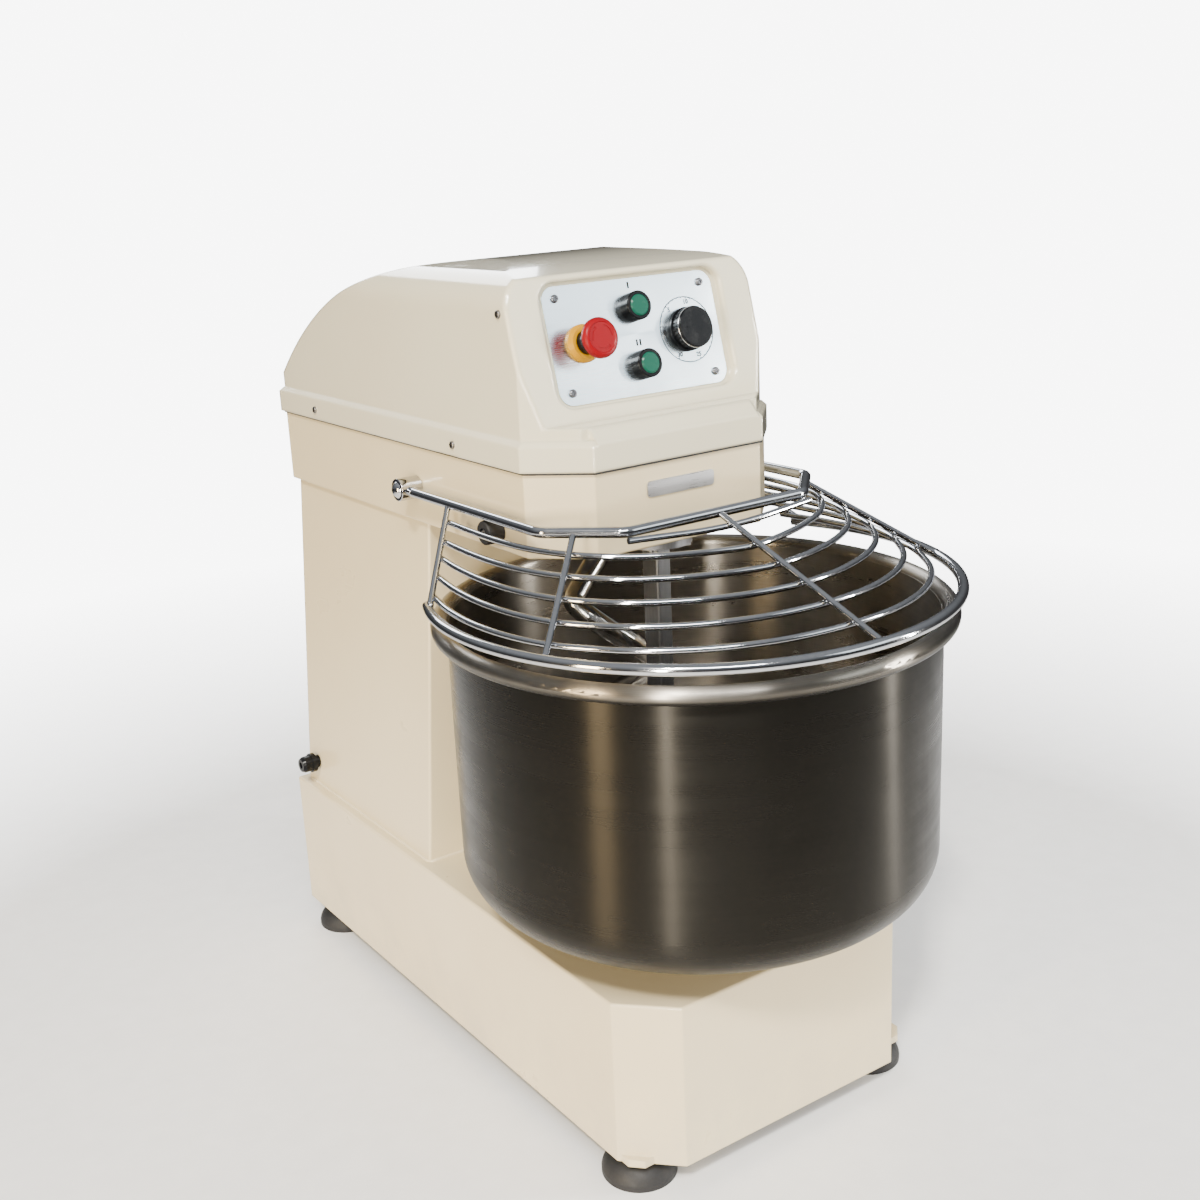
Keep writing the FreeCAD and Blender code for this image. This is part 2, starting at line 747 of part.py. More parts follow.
def panel_holes(length):
    """Cutters for the switch bushes, timer spindle and plate screws, in the panel frame."""
    cutters = []
    for x, y in ((0, size("button_high")), (0, -size("button_high")), (size("estop_x"), 0)):
        cutters.append(Part.makeCylinder(size("bush_hole"), length, FreeCAD.Vector(x, y, -length / 2)))
    cutters.append(Part.makeCylinder(5, length, FreeCAD.Vector(size("timer_x"), 0, -length / 2)))
    for sx in (-1, 1):
        for sy in (-1, 1):
            spot = FreeCAD.Vector(sx * size("screw_x"), sy * size("screw_v"), -length / 2)
            cutters.append(Part.makeCylinder(size("screw_hole"), length, spot))
    return cutters


def make_cover():
    level = 9.0
    wall = size("cover_wall")
    seam = size("seam")
    upper = upper_block(0.0, level, 715.0)
    rims = [
        e for e in upper.Edges
        if all(on_front_face(p, level) for p in e.discretize(5)) and e.CenterOfMass.z > 745
    ]
    upper = upper.makeFillet(4.5, rims)
    flange = flange_block(0.0, seam, size("flange_top"))
    slope_edges = [e for e in flange.Edges if e.BoundBox.ZMin > size("flange_top") - 0.01]
    flange = flange.makeChamfer(5.0, slope_edges)
    shell = upper.fuse(flange).fuse(front_ledge()).removeSplitter()
    recess = rounded_box(224, 124, 40, 20)
    recess.Placement = panel_placement()
    shell = shell.cut(recess)
    rim = [
        e for e in shell.Edges
        if all(on_front_face(p, level) for p in e.discretize(5))
        and all(abs(p.x) < 112.5 and 744 < p.z < 874 for p in e.discretize(5))
    ]
    shell = shell.makeFillet(3.0, rim)
    hollow = upper_block(wall, -wall, seam - 5)
    hollow = hollow.fuse(flange_block(wall, seam - 5, size("flange_top") - wall))
    shell = shell.cut(hollow)
    for cutter in panel_holes(20):
        cutter.Placement = panel_placement().multiply(cutter.Placement)
        shell = shell.cut(cutter)
    for y, z in cover_screw_sides():
        shell = shell.cut(Part.makeCylinder(size("screw_hole"), 400, FreeCAD.Vector(-200, y, z), X_AXIS))
    shape_node("head_cover", shell)


def cover_screw_sides():
    """Side screws of the cover as (y, z): two in the flange, one high up near the front."""
    return [(187.0, 708.0), (517.0, 708.0), (90.0, 846.0)]


# ---------------------------------------------------------------- screws and bolts
def ring_solid(inner, outer, low, height):
    """Plain tube standing on Z = low."""
    tube = Part.makeCylinder(outer, height, FreeCAD.Vector(0, 0, low))
    return tube.cut(Part.makeCylinder(inner, height, FreeCAD.Vector(0, 0, low)))


def pan_screw(length):
    """M4 cross-recessed pan-head screw pointing along -Z, head seated on Z = 0."""
    head = size("screw_head_radius")
    height = 2.6
    cap = Part.makeCylinder(head, height)
    cap = cap.makeFillet(1.5, [e for e in cap.Edges if e.BoundBox.ZMin > height - 0.01])
    screw = cap.fuse(Part.makeCylinder(size("screw_radius"), length, FreeCAD.Vector(0, 0, -length)))
    slot = Part.makeBox(1.1 * head, 0.26 * head, height, FreeCAD.Vector(-0.55 * head, -0.13 * head, 1.3))
    cross = slot.copy()
    cross.rotate(FreeCAD.Vector(0, 0, 0), Z_AXIS, 90)
    return screw.cut(slot).cut(cross)


def aimed(shape, spot, outward):
    """A copy whose own +Z points outward, moved to spot."""
    copy = shape.copy()
    copy.Placement = FreeCAD.Placement(spot, FreeCAD.Rotation(Z_AXIS, outward))
    return copy


def make_panel_screws():
    """Screws of the head cover, the rear panel and the guard bumpers."""
    screws = []
    for side in (-1, 1):
        outward = FreeCAD.Vector(side, 0, 0)
        for y, z in cover_screw_sides():
            half = size("flange_half") if z < size("flange_top") else size("cover_half")
            screws.append(aimed(pan_screw(12), FreeCAD.Vector(side * half, y, z), outward))
        seat = FreeCAD.Vector(side * (size("head_half") + 16), size("bumper_y"), size("bumper_z"))
        screws.append(aimed(pan_screw(22), seat, outward))
    for spot in panel_screw_places():
        screws.append(aimed(pan_screw(10), spot, Y_AXIS))
    shape_node("panel_screws", Part.makeCompound(screws))


def make_plate_screws():
    spots = [
        FreeCAD.Vector(sx * size("screw_x"), sy * size("screw_v"), size("plate_sheet"))
        for sx in (-1, 1)
        for sy in (-1, 1)
    ]
    panel_node("control_plate_screws", copies(pan_screw(8), spots))


def bolt_spots(y, offset, z):
    return [FreeCAD.Vector(sx * offset, y + sy * offset, z) for sx in (-1, 1) for sy in (-1, 1)]


def make_hex_bolts():
    """M8 bolts of the bearing housings, the motor flange and the breaker bar."""
    shank = Part.makeCylinder(size("bolt_radius"), 17, FreeCAD.Vector(0, 0, -17))
    bolt = hexagon(13, 5.3).fuse(shank)
    plate = size("head_bottom") + size("head_plate")
    base = size("base_top")
    spots = bolt_spots(size("spiral_y"), size("spiral_bolt"), plate + 10)
    spots += bolt_spots(size("countershaft_y"), size("unit_bolt"), plate + 9)
    spots += bolt_spots(size("countershaft_y"), size("unit_bolt"), base + 9)
    spots += bolt_spots(size("motor_y"), size("motor_bolt"), plate)
    spots += bolt_spots(size("breaker_y"), size("breaker_bolt"), plate)
    spots += bolt_spots(0, size("bowl_bolt"), base + 10)
    spots += bolt_spots(size("layshaft_y"), size("layshaft_bolt"), base)
    shape_node("hex_bolts", copies(bolt, spots))


# ---------------------------------------------------------------- control panel
def panel_place(feature, x, v):
    """Puts a sub-part on the tilted panel, moved across it by (x, v)."""
    lean = math.radians(size("panel_lean"))
    along = total(v)
    feature.Placement = FreeCAD.Placement(
        FreeCAD.Vector(
            total(x),
            size("panel_y") + size("origin_shift_y") + along * math.cos(lean),
            size("panel_z") + along * math.sin(lean),
        ),
        panel_rotation(),
    )
    rise = bound(v)
    feature.setExpression("Placement.Base.x", bound(x))
    feature.setExpression(
        "Placement.Base.y",
        "Dims.panel_y + Dims.origin_shift_y + (%s) * cos(Dims.panel_lean * 1deg)" % rise,
    )
    feature.setExpression(
        "Placement.Base.z", "Dims.panel_z + (%s) * sin(Dims.panel_lean * 1deg)" % rise
    )


def panel_node(name, shape, x="0", v="0"):
    feature = doc.addObject("Part::Feature", name)
    feature.Shape = shape
    panel_place(feature, x, v)
    return keep(feature, name)


def panel_turned(name, profile, x, v):
    body = doc.addObject("PartDesign::Body", name)
    panel_place(body, x, v)
    sketch = new_sketch(body, name + "_profile", "XZ_Plane")
    draw_outline(sketch, profile)
    revolve(body, sketch, name + "_turning")
    return keep(body, name)


def make_control_plate():
    plate = rounded_box(size("plate_width"), size("plate_height"), size("plate_sheet"), 15)
    for cutter in panel_holes(12):
        plate = plate.cut(cutter)
    panel_node("control_plate", plate)


def make_contact_blocks():
    """Electrical blocks clipped behind the two buttons and the emergency stop."""
    block = Part.makeBox(30, 26, 40, FreeCAD.Vector(-15, -13, -54))
    block = block.cut(Part.makeCylinder(6, 12, FreeCAD.Vector(0, 0, -26)))
    spots = [
        FreeCAD.Vector(0, size("button_high"), 0),
        FreeCAD.Vector(0, -size("button_high"), 0),
        FreeCAD.Vector(size("estop_x"), 0, 0),
    ]
    panel_node("switch_contact_blocks", copies(block, spots))


def make_buttons():
    """Two guarded push buttons: fixed black bezels and moving caps."""
    bush = ring_solid(size("stem_bore"), size("bush_radius"), -14, 15.5)
    floor = ring_solid(size("stem_bore"), size("bezel_radius"), 1.5, 1.7)
    barrel = ring_solid(size("button_bore"), size("bezel_radius"), 1.5, 13.5)
    barrel = barrel.makeFillet(1.2, [e for e in barrel.Edges if e.BoundBox.ZMin > 14.9 and e.Length > 80])
    bezel = bush.fuse(barrel).fuse(floor).removeSplitter()
    spots = [FreeCAD.Vector(0, size("button_high"), 0), FreeCAD.Vector(0, -size("button_high"), 0)]
    panel_node("button_bezels", copies(bezel, spots))
    for name, v in (("low_speed_button", "button_high"), ("high_speed_button", "-1*button_high")):
        panel_turned(name, [
            ("0", "-13"), ("stem_radius", "-13"), ("stem_radius", "8"), ("button_radius", "8"),
            ("button_radius", "15"), ("button_radius - 1.4", "16.2"), ("0", "16.2"),
        ], "0", v)


def make_estop():
    """Emergency stop: yellow collar, sliding plunger and twisting mushroom head."""
    panel_turned("estop_collar", [
        ("estop_bore", "-14"), ("bush_radius", "-14"), ("bush_radius", "1.5"), ("19", "1.5"), ("19", "4.5"),
        ("16", "9"), ("12.4", "9"), ("12.4", "3.2"), ("estop_bore", "3.2"),
    ], "estop_x", "0")
    panel_turned("estop_plunger", [
        ("0", "-13"), ("estop_stem", "-13"), ("estop_stem", "9.6"), ("12", "9.6"), ("12", "21"), ("4", "21"),
        ("4", "25"), ("0", "25"),
    ], "estop_x", "0")
    crown = Part.Arc(FreeCAD.Vector(20, 0, 32), FreeCAD.Vector(18.6, 0, 35.6), FreeCAD.Vector(15.5, 0, 37))
    flare = Part.Arc(FreeCAD.Vector(13.5, 0, 21.1), FreeCAD.Vector(15.4, 0, 26.4), FreeCAD.Vector(20, 0, 30))
    line = [(15.5, 37), (14.5, 36.2), (0, 36.2), (0, 25.3), (4.05, 25.3), (4.05, 21.1), (13.5, 21.1)]
    rest = Part.makePolygon([FreeCAD.Vector(r, 0, z) for r, z in line]).Edges
    side = Part.makeLine(FreeCAD.Vector(20, 0, 30), FreeCAD.Vector(20, 0, 32))
    head = closed_face([crown.toShape(), flare.toShape(), side] + rest)
    head = head.revolve(FreeCAD.Vector(0, 0, 0), Z_AXIS, 360)
    arrow = Part.makeCylinder(12.6, 0.7, FreeCAD.Vector(0, 0, 35.7), Z_AXIS, 70)
    arrow = arrow.cut(Part.makeCylinder(10.4, 3, FreeCAD.Vector(0, 0, 35)))
    for turn in (0, 120, 240):
        groove = arrow.copy()
        groove.rotate(FreeCAD.Vector(0, 0, 0), Z_AXIS, turn)
        head = head.cut(groove)
    panel_node("estop_head", head, "estop_x", "0")


def make_timer():
    case = Part.makeBox(50, 50, 34, FreeCAD.Vector(-25, -25, -38))
    case = case.makeFillet(4, [e for e in case.Edges if e.BoundBox.ZLength > 20])
    case = case.fuse(Part.makeCylinder(4.9, 6, FreeCAD.Vector(0, 0, -6)))
    case = case.cut(Part.makeCylinder(3.05, 20, FreeCAD.Vector(0, 0, -18)))
    panel_node("timer_body", case, "timer_x", "0")
    panel_turned("timer_spindle", [("0", "-17.5"), ("3", "-17.5"), ("3", "13"), ("0", "13")], "timer_x", "0")
    knob = Part.makeCylinder(22.5, 3, FreeCAD.Vector(0, 0, 2.2))
    barrel = Part.makeCylinder(21, 14.3, FreeCAD.Vector(0, 0, 4.2))
    barrel = barrel.makeFillet(1.2, [e for e in barrel.Edges if e.BoundBox.ZMin > 18])
    knob = knob.fuse(barrel)
    for number in range(30):
        flute = Part.makeCylinder(1.1, 9, FreeCAD.Vector(21.6, 0, 6.5))
        flute.rotate(FreeCAD.Vector(0, 0, 0), Z_AXIS, 12 * number + 6)
        knob = knob.cut(flute)
    knob = knob.cut(Part.makeCylinder(3, 12, FreeCAD.Vector(0, 0, 1)))
    knob = knob.cut(Part.makeBox(9, 1.6, 1, FreeCAD.Vector(-20.5, -0.8, 18)))
    panel_node("timer_knob", knob, "timer_x", "0")


# ---------------------------------------------------------------- guard
def round_bar(path, radius):
    """Round bar along a wire of straight runs and arcs."""
    first = path.OrderedEdges[0]
    start = first.valueAt(first.FirstParameter)
    heading = first.tangentAt(first.FirstParameter)
    section = Part.Wire(Part.makeCircle(radius, start, heading))
    return path.makePipeShell([section], True, False)


def bent_path(corners, bend=None):
    """Straight runs with tangent arcs between them, as large as the runs allow if bend is None."""
    edges = []
    start = corners[0]
    for before, here, after in zip(corners, corners[1:], corners[2:]):
        back = before - here
        ahead = after - here
        shorter = min(back.Length, ahead.Length)
        back.normalize()
        ahead.normalize()
        half_angle = back.getAngle(ahead) / 2
        leg = 0.45 * shorter if bend is None else bend / math.tan(half_angle)
        radius = leg * math.tan(half_angle)
        enter = here + back * leg
        leave = here + ahead * leg
        middle = here + (back + ahead).normalize() * (radius / math.sin(half_angle) - radius)
        edges.append(Part.makeLine(start, enter))
        edges.append(Part.Arc(enter, middle, leave).toShape())
        start = leave
    edges.append(Part.makeLine(start, corners[-1]))
    return Part.Wire(edges)


# Angle on the ring, counted from the front, where each rib ends: front, corner and rear rib.
RIB_ANGLES = (0.0, 67.3, 112.0)
# Share of the way down the front, corner and rear ribs where each arc wire crosses them.
ARC_SHARES = (
    (0.245, 0.153, 0.143),
    (0.395, 0.332, 0.330),
    (0.541, 0.513, 0.487),
    (0.686, 0.692, 0.657),
    (0.836, 0.860, 0.843),
)


def mirrored(point):
    return FreeCAD.Vector(-point.x, point.y, point.z)


def ring_point(degrees):
    angle = math.radians(degrees)
    radius = size("guard_ring_radius")
    return FreeCAD.Vector(radius * math.sin(angle), -radius * math.cos(angle), size("guard_ring_z"))


def rod_point(rib, mix):
    """Point on the smooth line under the top rod, mix of the way from one rib to the next."""
    half = size("guard_rod_half")
    middle = 150.0
    depth = middle - size("guard_rod_front")
    if rib == 0:
        x = size("guard_corner_x") * mix
        y = middle - depth * (1 - (x / half) ** 4) ** 0.25
    else:
        y = size("guard_corner_y") + (size("guard_rear_y") - size("guard_corner_y")) * mix
        bow = max(0.0, (middle - y) / depth)
        x = half * (1 - bow ** 4) ** 0.25
    return FreeCAD.Vector(x, y, size("guard_rod_z"))


def guard_point(rib, mix, share, drop=0.0):
    """Point of the guard's face; share runs from the rod to the ring, drop goes below the face."""
    top = rod_point(rib, mix)
    low = ring_point(RIB_ANGLES[rib] + (RIB_ANGLES[rib + 1] - RIB_ANGLES[rib]) * mix)
    down = (low - top).normalize()
    normal = (Z_AXIS - down * down.z).normalize()
    return top + (low - top) * share - normal * drop


def make_top_rod():
    half = size("guard_rod_half")
    front = size("guard_rod_front")
    corner = size("guard_rod_corner")
    z = size("guard_rod_z")
    back = size("hinge_y") - 11.7
    right = [
        FreeCAD.Vector(half - corner, front, z),
        FreeCAD.Vector(half, front + corner, z),
        FreeCAD.Vector(half, back, z),
    ]
    path = bent_path([mirrored(p) for p in reversed(right)] + right, 16)
    shape_node("guard_top_rod", round_bar(path, size("guard_rod_radius")))


def make_ring():
    end = size("guard_ring_end")
    arc = Part.Arc(ring_point(-end), ring_point(0), ring_point(end)).toShape()
    shape_node("guard_ring", round_bar(Part.Wire(arc), size("guard_rod_radius")))


def make_arc_wires():
    """Six wires under the ribs; each runs right round from rear rib to rear rib."""
    wire = size("guard_wire_radius")
    drop = 2 * wire - 0.6
    end_x = size("guard_rod_half") - size("guard_rod_corner") + 3
    start = FreeCAD.Vector(end_x, size("guard_rod_front") - 6, size("guard_rod_z") - drop - 1)
    bow = [mirrored(start), FreeCAD.Vector(0, -65, 636.5), start]
    wires = [round_bar(bent_path(bow), wire)]
    for front, corner, rear in ARC_SHARES:
        right = []
        for mix in (0.0, 0.25, 0.5, 0.75):
            right.append(guard_point(0, mix, front + (corner - front) * mix, drop))
        for mix in (0.0, 0.25, 0.5, 0.75, 1.0):
            right.append(guard_point(1, mix, corner + (rear - corner) * mix, drop))
        right[-1] += (right[-1] - right[-2]).normalize() * 5
        left = [mirrored(p) for p in reversed(right[1:])]
        wires.append(round_bar(bent_path(left + right), wire))
    shape_node("guard_arc_wires", Part.makeCompound(wires))


def make_ribs():
    """Five straight ribs from the rod to the ring, over the arc wires."""
    wire = size("guard_wire_radius")
    ribs = []
    for rib, mix in ((0, 0.0), (1, 0.0), (1, 1.0)):
        top = guard_point(rib, mix, 0.0)
        low = guard_point(rib, mix, 1.0)
        along = (low - top).normalize()
        trim = size("guard_rod_radius") - 0.7
        length = (low - top).Length - 2 * trim
        rod = Part.makeCylinder(wire, length, top + along * trim, along)
        ribs.append(rod)
        if top.x > 1:
            ribs.append(rod.mirror(FreeCAD.Vector(0, 0, 0), X_AXIS))
    shape_node("guard_ribs", Part.makeCompound(ribs))


def both_sides(shape):
    return Part.makeCompound([shape, shape.mirror(FreeCAD.Vector(0, 0, 0), X_AXIS)])


def make_guard_hinge():
    y = size("hinge_y")
    z = size("hinge_z")
    head = size("head_half")
    pin_radius = size("hinge_pin_radius")
    sleeve = Part.makeCylinder(12.5, 25, FreeCAD.Vector(head + 0.8, y, z), X_AXIS)
    sleeve = sleeve.makeFillet(1.0, [e for e in sleeve.Edges if e.BoundBox.XMin > head + 25])
    sleeve = sleeve.cut(Part.makeCylinder(pin_radius, 60, FreeCAD.Vector(head - 10, y, z), X_AXIS))
    shape_node("guard_hinge_sleeves", both_sides(sleeve))
    pin = Part.makeCylinder(pin_radius, 55, FreeCAD.Vector(head - 29.2, y, z), X_AXIS)
    dome = Part.makeSphere(10.5, FreeCAD.Vector(head + 20.4, y, z))
    outside = Part.makeBox(20, 40, 40, FreeCAD.Vector(head + 25.8, y - 20, z - 20))
    socket = aimed(hexagon(6, 4), FreeCAD.Vector(head + 28.6, y, z), X_AXIS)
    shape_node("guard_hinge_pins", both_sides(pin.fuse(dome.common(outside)).cut(socket)))


def make_guard_switch():
    """Cam on the left hinge pin and the limit switch that its flat side releases."""
    y = size("hinge_y")
    z = size("hinge_z")
    left = -size("head_half")
    cam = Part.makeCylinder(14.6, 7, FreeCAD.Vector(left + 18, y, z), X_AXIS)
    cam = cam.cut(Part.makeBox(20, 10, 40, FreeCAD.Vector(left + 10, y - 21, z - 20)))
    cam = cam.cut(Part.makeCylinder(size("hinge_pin_radius"), 20, FreeCAD.Vector(left + 10, y, z), X_AXIS))
    shape_node("guard_cam", cam)
    case = Part.makeBox(25, 34, 24, FreeCAD.Vector(left + 6, y - 17, z + 17.5))
    roller = Part.makeBox(6, 5, 3, FreeCAD.Vector(left + 18.5, y - 2.5, z + 15))
    shape_node("guard_limit_switch", case.fuse(roller))


def make_bumpers():
    """Rubber stops under the side rods; the closed guard rests on them."""
    head = size("head_half")
    y = size("bumper_y")
    z = size("bumper_z")
    bumper = Part.makeCylinder(12.4, 19, FreeCAD.Vector(head, y, z), X_AXIS)
    bumper = bumper.makeFillet(2.5, [e for e in bumper.Edges if e.BoundBox.XMin > head + 18])
    bumper = bumper.cut(Part.makeCylinder(5.2, 10, FreeCAD.Vector(head + 16, y, z), X_AXIS))
    bumper = bumper.cut(Part.makeCylinder(size("screw_hole"), 30, FreeCAD.Vector(head - 5, y, z), X_AXIS))
    shape_node("guard_bumpers", both_sides(bumper))


# ---------------------------------------------------------------- bowl
def make_bowl():
    """Spun bowl with a rolled, hollow rim."""
    body = new_body("bowl")
    sketch = new_sketch(body, "bowl_profile", "XZ_Plane")
    draw_outline(sketch, [
        ("0", "bowl_bottom"), ("bowl_radius", "bowl_bottom"), ("bowl_radius", "rim_z"),
        ("bowl_radius - bowl_wall", "rim_z"), ("bowl_radius - bowl_wall", "bowl_bottom + bowl_wall"),
        ("0", "bowl_bottom + bowl_wall"),
    ])
    revolve(body, sketch, "bowl_wall_turning")
    low = size("bowl_bottom")
    inside = low + size("bowl_wall")
    round_edges(
        body, "bowl_outer_round", "bowl_round",
        lambda e: e.BoundBox.ZMax < low + 0.01 and e.Length > 1000,
    )
    round_edges(
        body, "bowl_inner_round", "bowl_round - bowl_wall",
        lambda e: e.BoundBox.ZMin > inside - 0.01 and e.BoundBox.ZMax < inside + 0.01 and e.Length > 1000,
    )
    sketch = new_sketch(body, "rim_circle", "XZ_Plane")
    draw_circle(sketch, "rim_centre", "rim_z", "rim_roll")
    revolve(body, sketch, "rim_turning")
    sketch = new_sketch(body, "rim_inside_circle", "XZ_Plane")
    draw_circle(sketch, "rim_centre", "rim_z", "rim_roll - bowl_wall")
    revolve(body, sketch, "rim_hollow", "Groove")
    sketch = new_sketch(body, "rim_gap_outline", "XZ_Plane")
    draw_outline(sketch, [
        ("rim_centre - 1", "rim_z - 12"), ("rim_centre + 1", "rim_z - 12"),
        ("rim_centre + 1", "rim_z - 5"), ("rim_centre - 1", "rim_z - 5"),
    ])
    revolve(body, sketch, "rim_gap", "Groove")


# ---------------------------------------------------------------- belts and pulleys
def belt_rim(pitch, low):
    """Grooved rim for one V belt as (radius, height), from the lower face to the upper."""
    outer = "%s + 3" % pitch
    root = "%s - 8" % pitch
    return [
        (outer, low), (outer, "%s + 2.5" % low), (root, "%s + 6.2" % low),
        (root, "%s + pulley_width - 6.2" % low), (outer, "%s + pulley_width - 2.5" % low),
        (outer, "%s + pulley_width" % low),
    ]


def webbed_rim(pitch, low, hub):
    """Grooved rim carried on a thin web from a hub radius."""
    inner = "%s - 14" % pitch
    lower = [(hub, "%s + 7" % low), (inner, "%s + 7" % low), (inner, low)]
    upper = [(inner, "%s + pulley_width" % low), (inner, "%s + 15" % low), (hub, "%s + 15" % low)]
    return lower + belt_rim(pitch, low) + upper


def hub_pulley(name, pitch, bore, low, hub, y):
    """Webbed pulley whose hub stands out 5 mm on both sides."""
    under = "%s - 5" % low
    over = "%s + pulley_width + 5" % low
    profile = [(bore, under), (hub, under)] + webbed_rim(pitch, low, hub) + [(hub, over), (bore, over)]
    turned(name, profile, "0", y)


def small_pulley(name, pitch, bore, low, y):
    profile = [(bore, low)] + belt_rim(pitch, low) + [(bore, "%s + pulley_width" % low)]
    turned(name, profile, "0", y)


def make_belt(name, first, second, low):
    """V belt round two pulleys, each (y, pitch radius), just clear of the groove walls."""
    y_a, pitch_a = first
    y_b, pitch_b = second
    z = size(low) + size("pulley_width") / 2
    lean = math.asin((pitch_a - pitch_b) / (y_b - y_a))
    out = FreeCAD.Vector(math.cos(lean), math.sin(lean), 0)
    leave_a = FreeCAD.Vector(0, y_a, z) + out * pitch_a
    reach_b = FreeCAD.Vector(0, y_b, z) + out * pitch_b
    edges = [
        Part.makeLine(leave_a, reach_b),
        Part.Arc(reach_b, FreeCAD.Vector(0, y_b + pitch_b, z), mirrored(reach_b)).toShape(),
        Part.makeLine(mirrored(reach_b), mirrored(leave_a)),
        Part.Arc(mirrored(leave_a), FreeCAD.Vector(0, y_a - pitch_a, z), leave_a).toShape(),
    ]
    section = []
    for depth, half in ((3.0, 7.4), (3.0, -7.4), (-6.5, -4.6), (-6.5, 4.6), (3.0, 7.4)):
        section.append(leave_a + out * depth + FreeCAD.Vector(0, 0, half))
    shape_node(name, Part.Wire(edges).makePipeShell([Part.makePolygon(section)], True, False))


def make_belts():
    counter = size("countershaft_y")
    lay = size("layshaft_y")
    make_belt("motor_belt", (counter, size("input_pitch")), (size("motor_y"), size("motor_pitch")), "level_motor")
    make_belt(
        "spiral_belt", (size("spiral_y"), size("spiral_pitch")), (counter, size("spiral_drive_pitch")),
        "level_spiral",
    )
    make_belt(
        "layshaft_belt", (lay, size("layshaft_big_pitch")), (counter, size("bowl_drive_pitch")),
        "level_layshaft",
    )
    make_belt("bowl_belt", (0.0, size("bowl_pitch")), (lay, size("layshaft_small_pitch")), "level_bowl")


# ---------------------------------------------------------------- bearings
def make_bearings():
    """Four bearings of 40 x 80 x 18 mm and four of 25 x 52 x 15 mm."""
    fit = size("shaft_fit")
    large = ring_solid(size("spiral_shaft_radius") + fit, 40, 0, 18)
    spots = [FreeCAD.Vector(0, size("spiral_y"), z) for z in (618, 666)]
    spots += [FreeCAD.Vector(0, 0, z) for z in (103, 194)]
    shape_node("large_bearings", copies(large, spots))
    small = ring_solid(size("countershaft_radius") + fit, 26, 0, 15)
    plate = size("head_bottom") + size("head_plate")
    spots = [FreeCAD.Vector(0, size("countershaft_y"), z) for z in (size("base_top") + 5, plate + 5)]
    spots += [FreeCAD.Vector(0, size("layshaft_y"), z) for z in (153, 183)]
    shape_node("small_bearings", copies(small, spots))


# ---------------------------------------------------------------- spiral and breaker bar
def make_spiral_drive():
    body = turned("spiral_bearing_housing", [
        ("26", "613.6"), ("70", "613.6"), ("70", "623.6"), ("48", "623.6"), ("48", "688"), ("26", "688"),
        ("26", "684"), ("40", "684"), ("40", "618"), ("26", "618"),
    ], "0", "spiral_y")
    drill(body, "housing_bolt_holes", square_of("0", "0", "spiral_bolt"), "bolt_hole", "624", "12")
    turned("spiral_shaft", [
        ("0", "hook_top"), ("17", "hook_top"), ("spiral_shaft_radius", "hook_top + 4"),
        ("spiral_shaft_radius", "592"), ("44", "595"), ("44", "601"), ("spiral_shaft_radius", "604"),
        ("spiral_shaft_radius", "734"), ("spiral_shaft_radius - 1.5", "736"), ("0", "736"),
    ], "0", "spiral_y")
    hub_pulley("spiral_pulley", "spiral_pitch", "spiral_shaft_radius", "level_spiral", "34", "spiral_y")


def make_hook():
    """Round bar wound into a left-handed coil that curls in above the bowl's floor."""
    coil = size("hook_coil_radius")
    top = size("hook_top")
    floor = size("hook_floor")
    start = math.radians(200)
    points = [FreeCAD.Vector(0, 0, top), FreeCAD.Vector(0, 0, top - 9)]
    points.append(FreeCAD.Vector(0.52 * coil * math.cos(start), 0.52 * coil * math.sin(start), top - 28))
    turns = 1.04
    steps = 26
    for number in range(steps + 1):
        share = number / steps
        angle = start + 2 * math.pi * turns * share
        height = floor + (top - 47 - floor) * (1 - share) ** 1.05
        points.append(FreeCAD.Vector(coil * math.cos(angle), coil * math.sin(angle), height))
    for number in range(1, 5):
        angle = start + 2 * math.pi * turns + math.radians(22 * number)
        reach = coil * (1 - 0.045 * number * number)
        points.append(FreeCAD.Vector(reach * math.cos(angle), reach * math.sin(angle), floor))
    bar = round_bar(bent_path(points), size("hook_bar_radius"))
    tip = Part.makeSphere(size("hook_bar_radius"), points[-1])
    shape_node("spiral_hook", bar.fuse(tip), "0", "spiral_y")


def make_breaker():
    """Fixed flat bar that holds the dough back, hung from the head plate."""
    top = size("head_bottom")
    low = size("breaker_low")
    bar = Part.makeBox(18, 26, top - 4 - low, FreeCAD.Vector(-9, -13, low))
    bar = bar.makeFillet(2.5, [e for e in bar.Edges if e.BoundBox.ZLength > 100 or e.BoundBox.ZMax < low + 0.1])
    breaker = bar.fuse(Part.makeCylinder(38, 9, FreeCAD.Vector(0, 0, top - 9)))
    for spot in bolt_spots(0, size("breaker_bolt"), top - 20):
        breaker = breaker.cut(Part.makeCylinder(size("bolt_hole"), 30, spot))
    shape_node("breaker_bar", breaker, "0", "breaker_y")


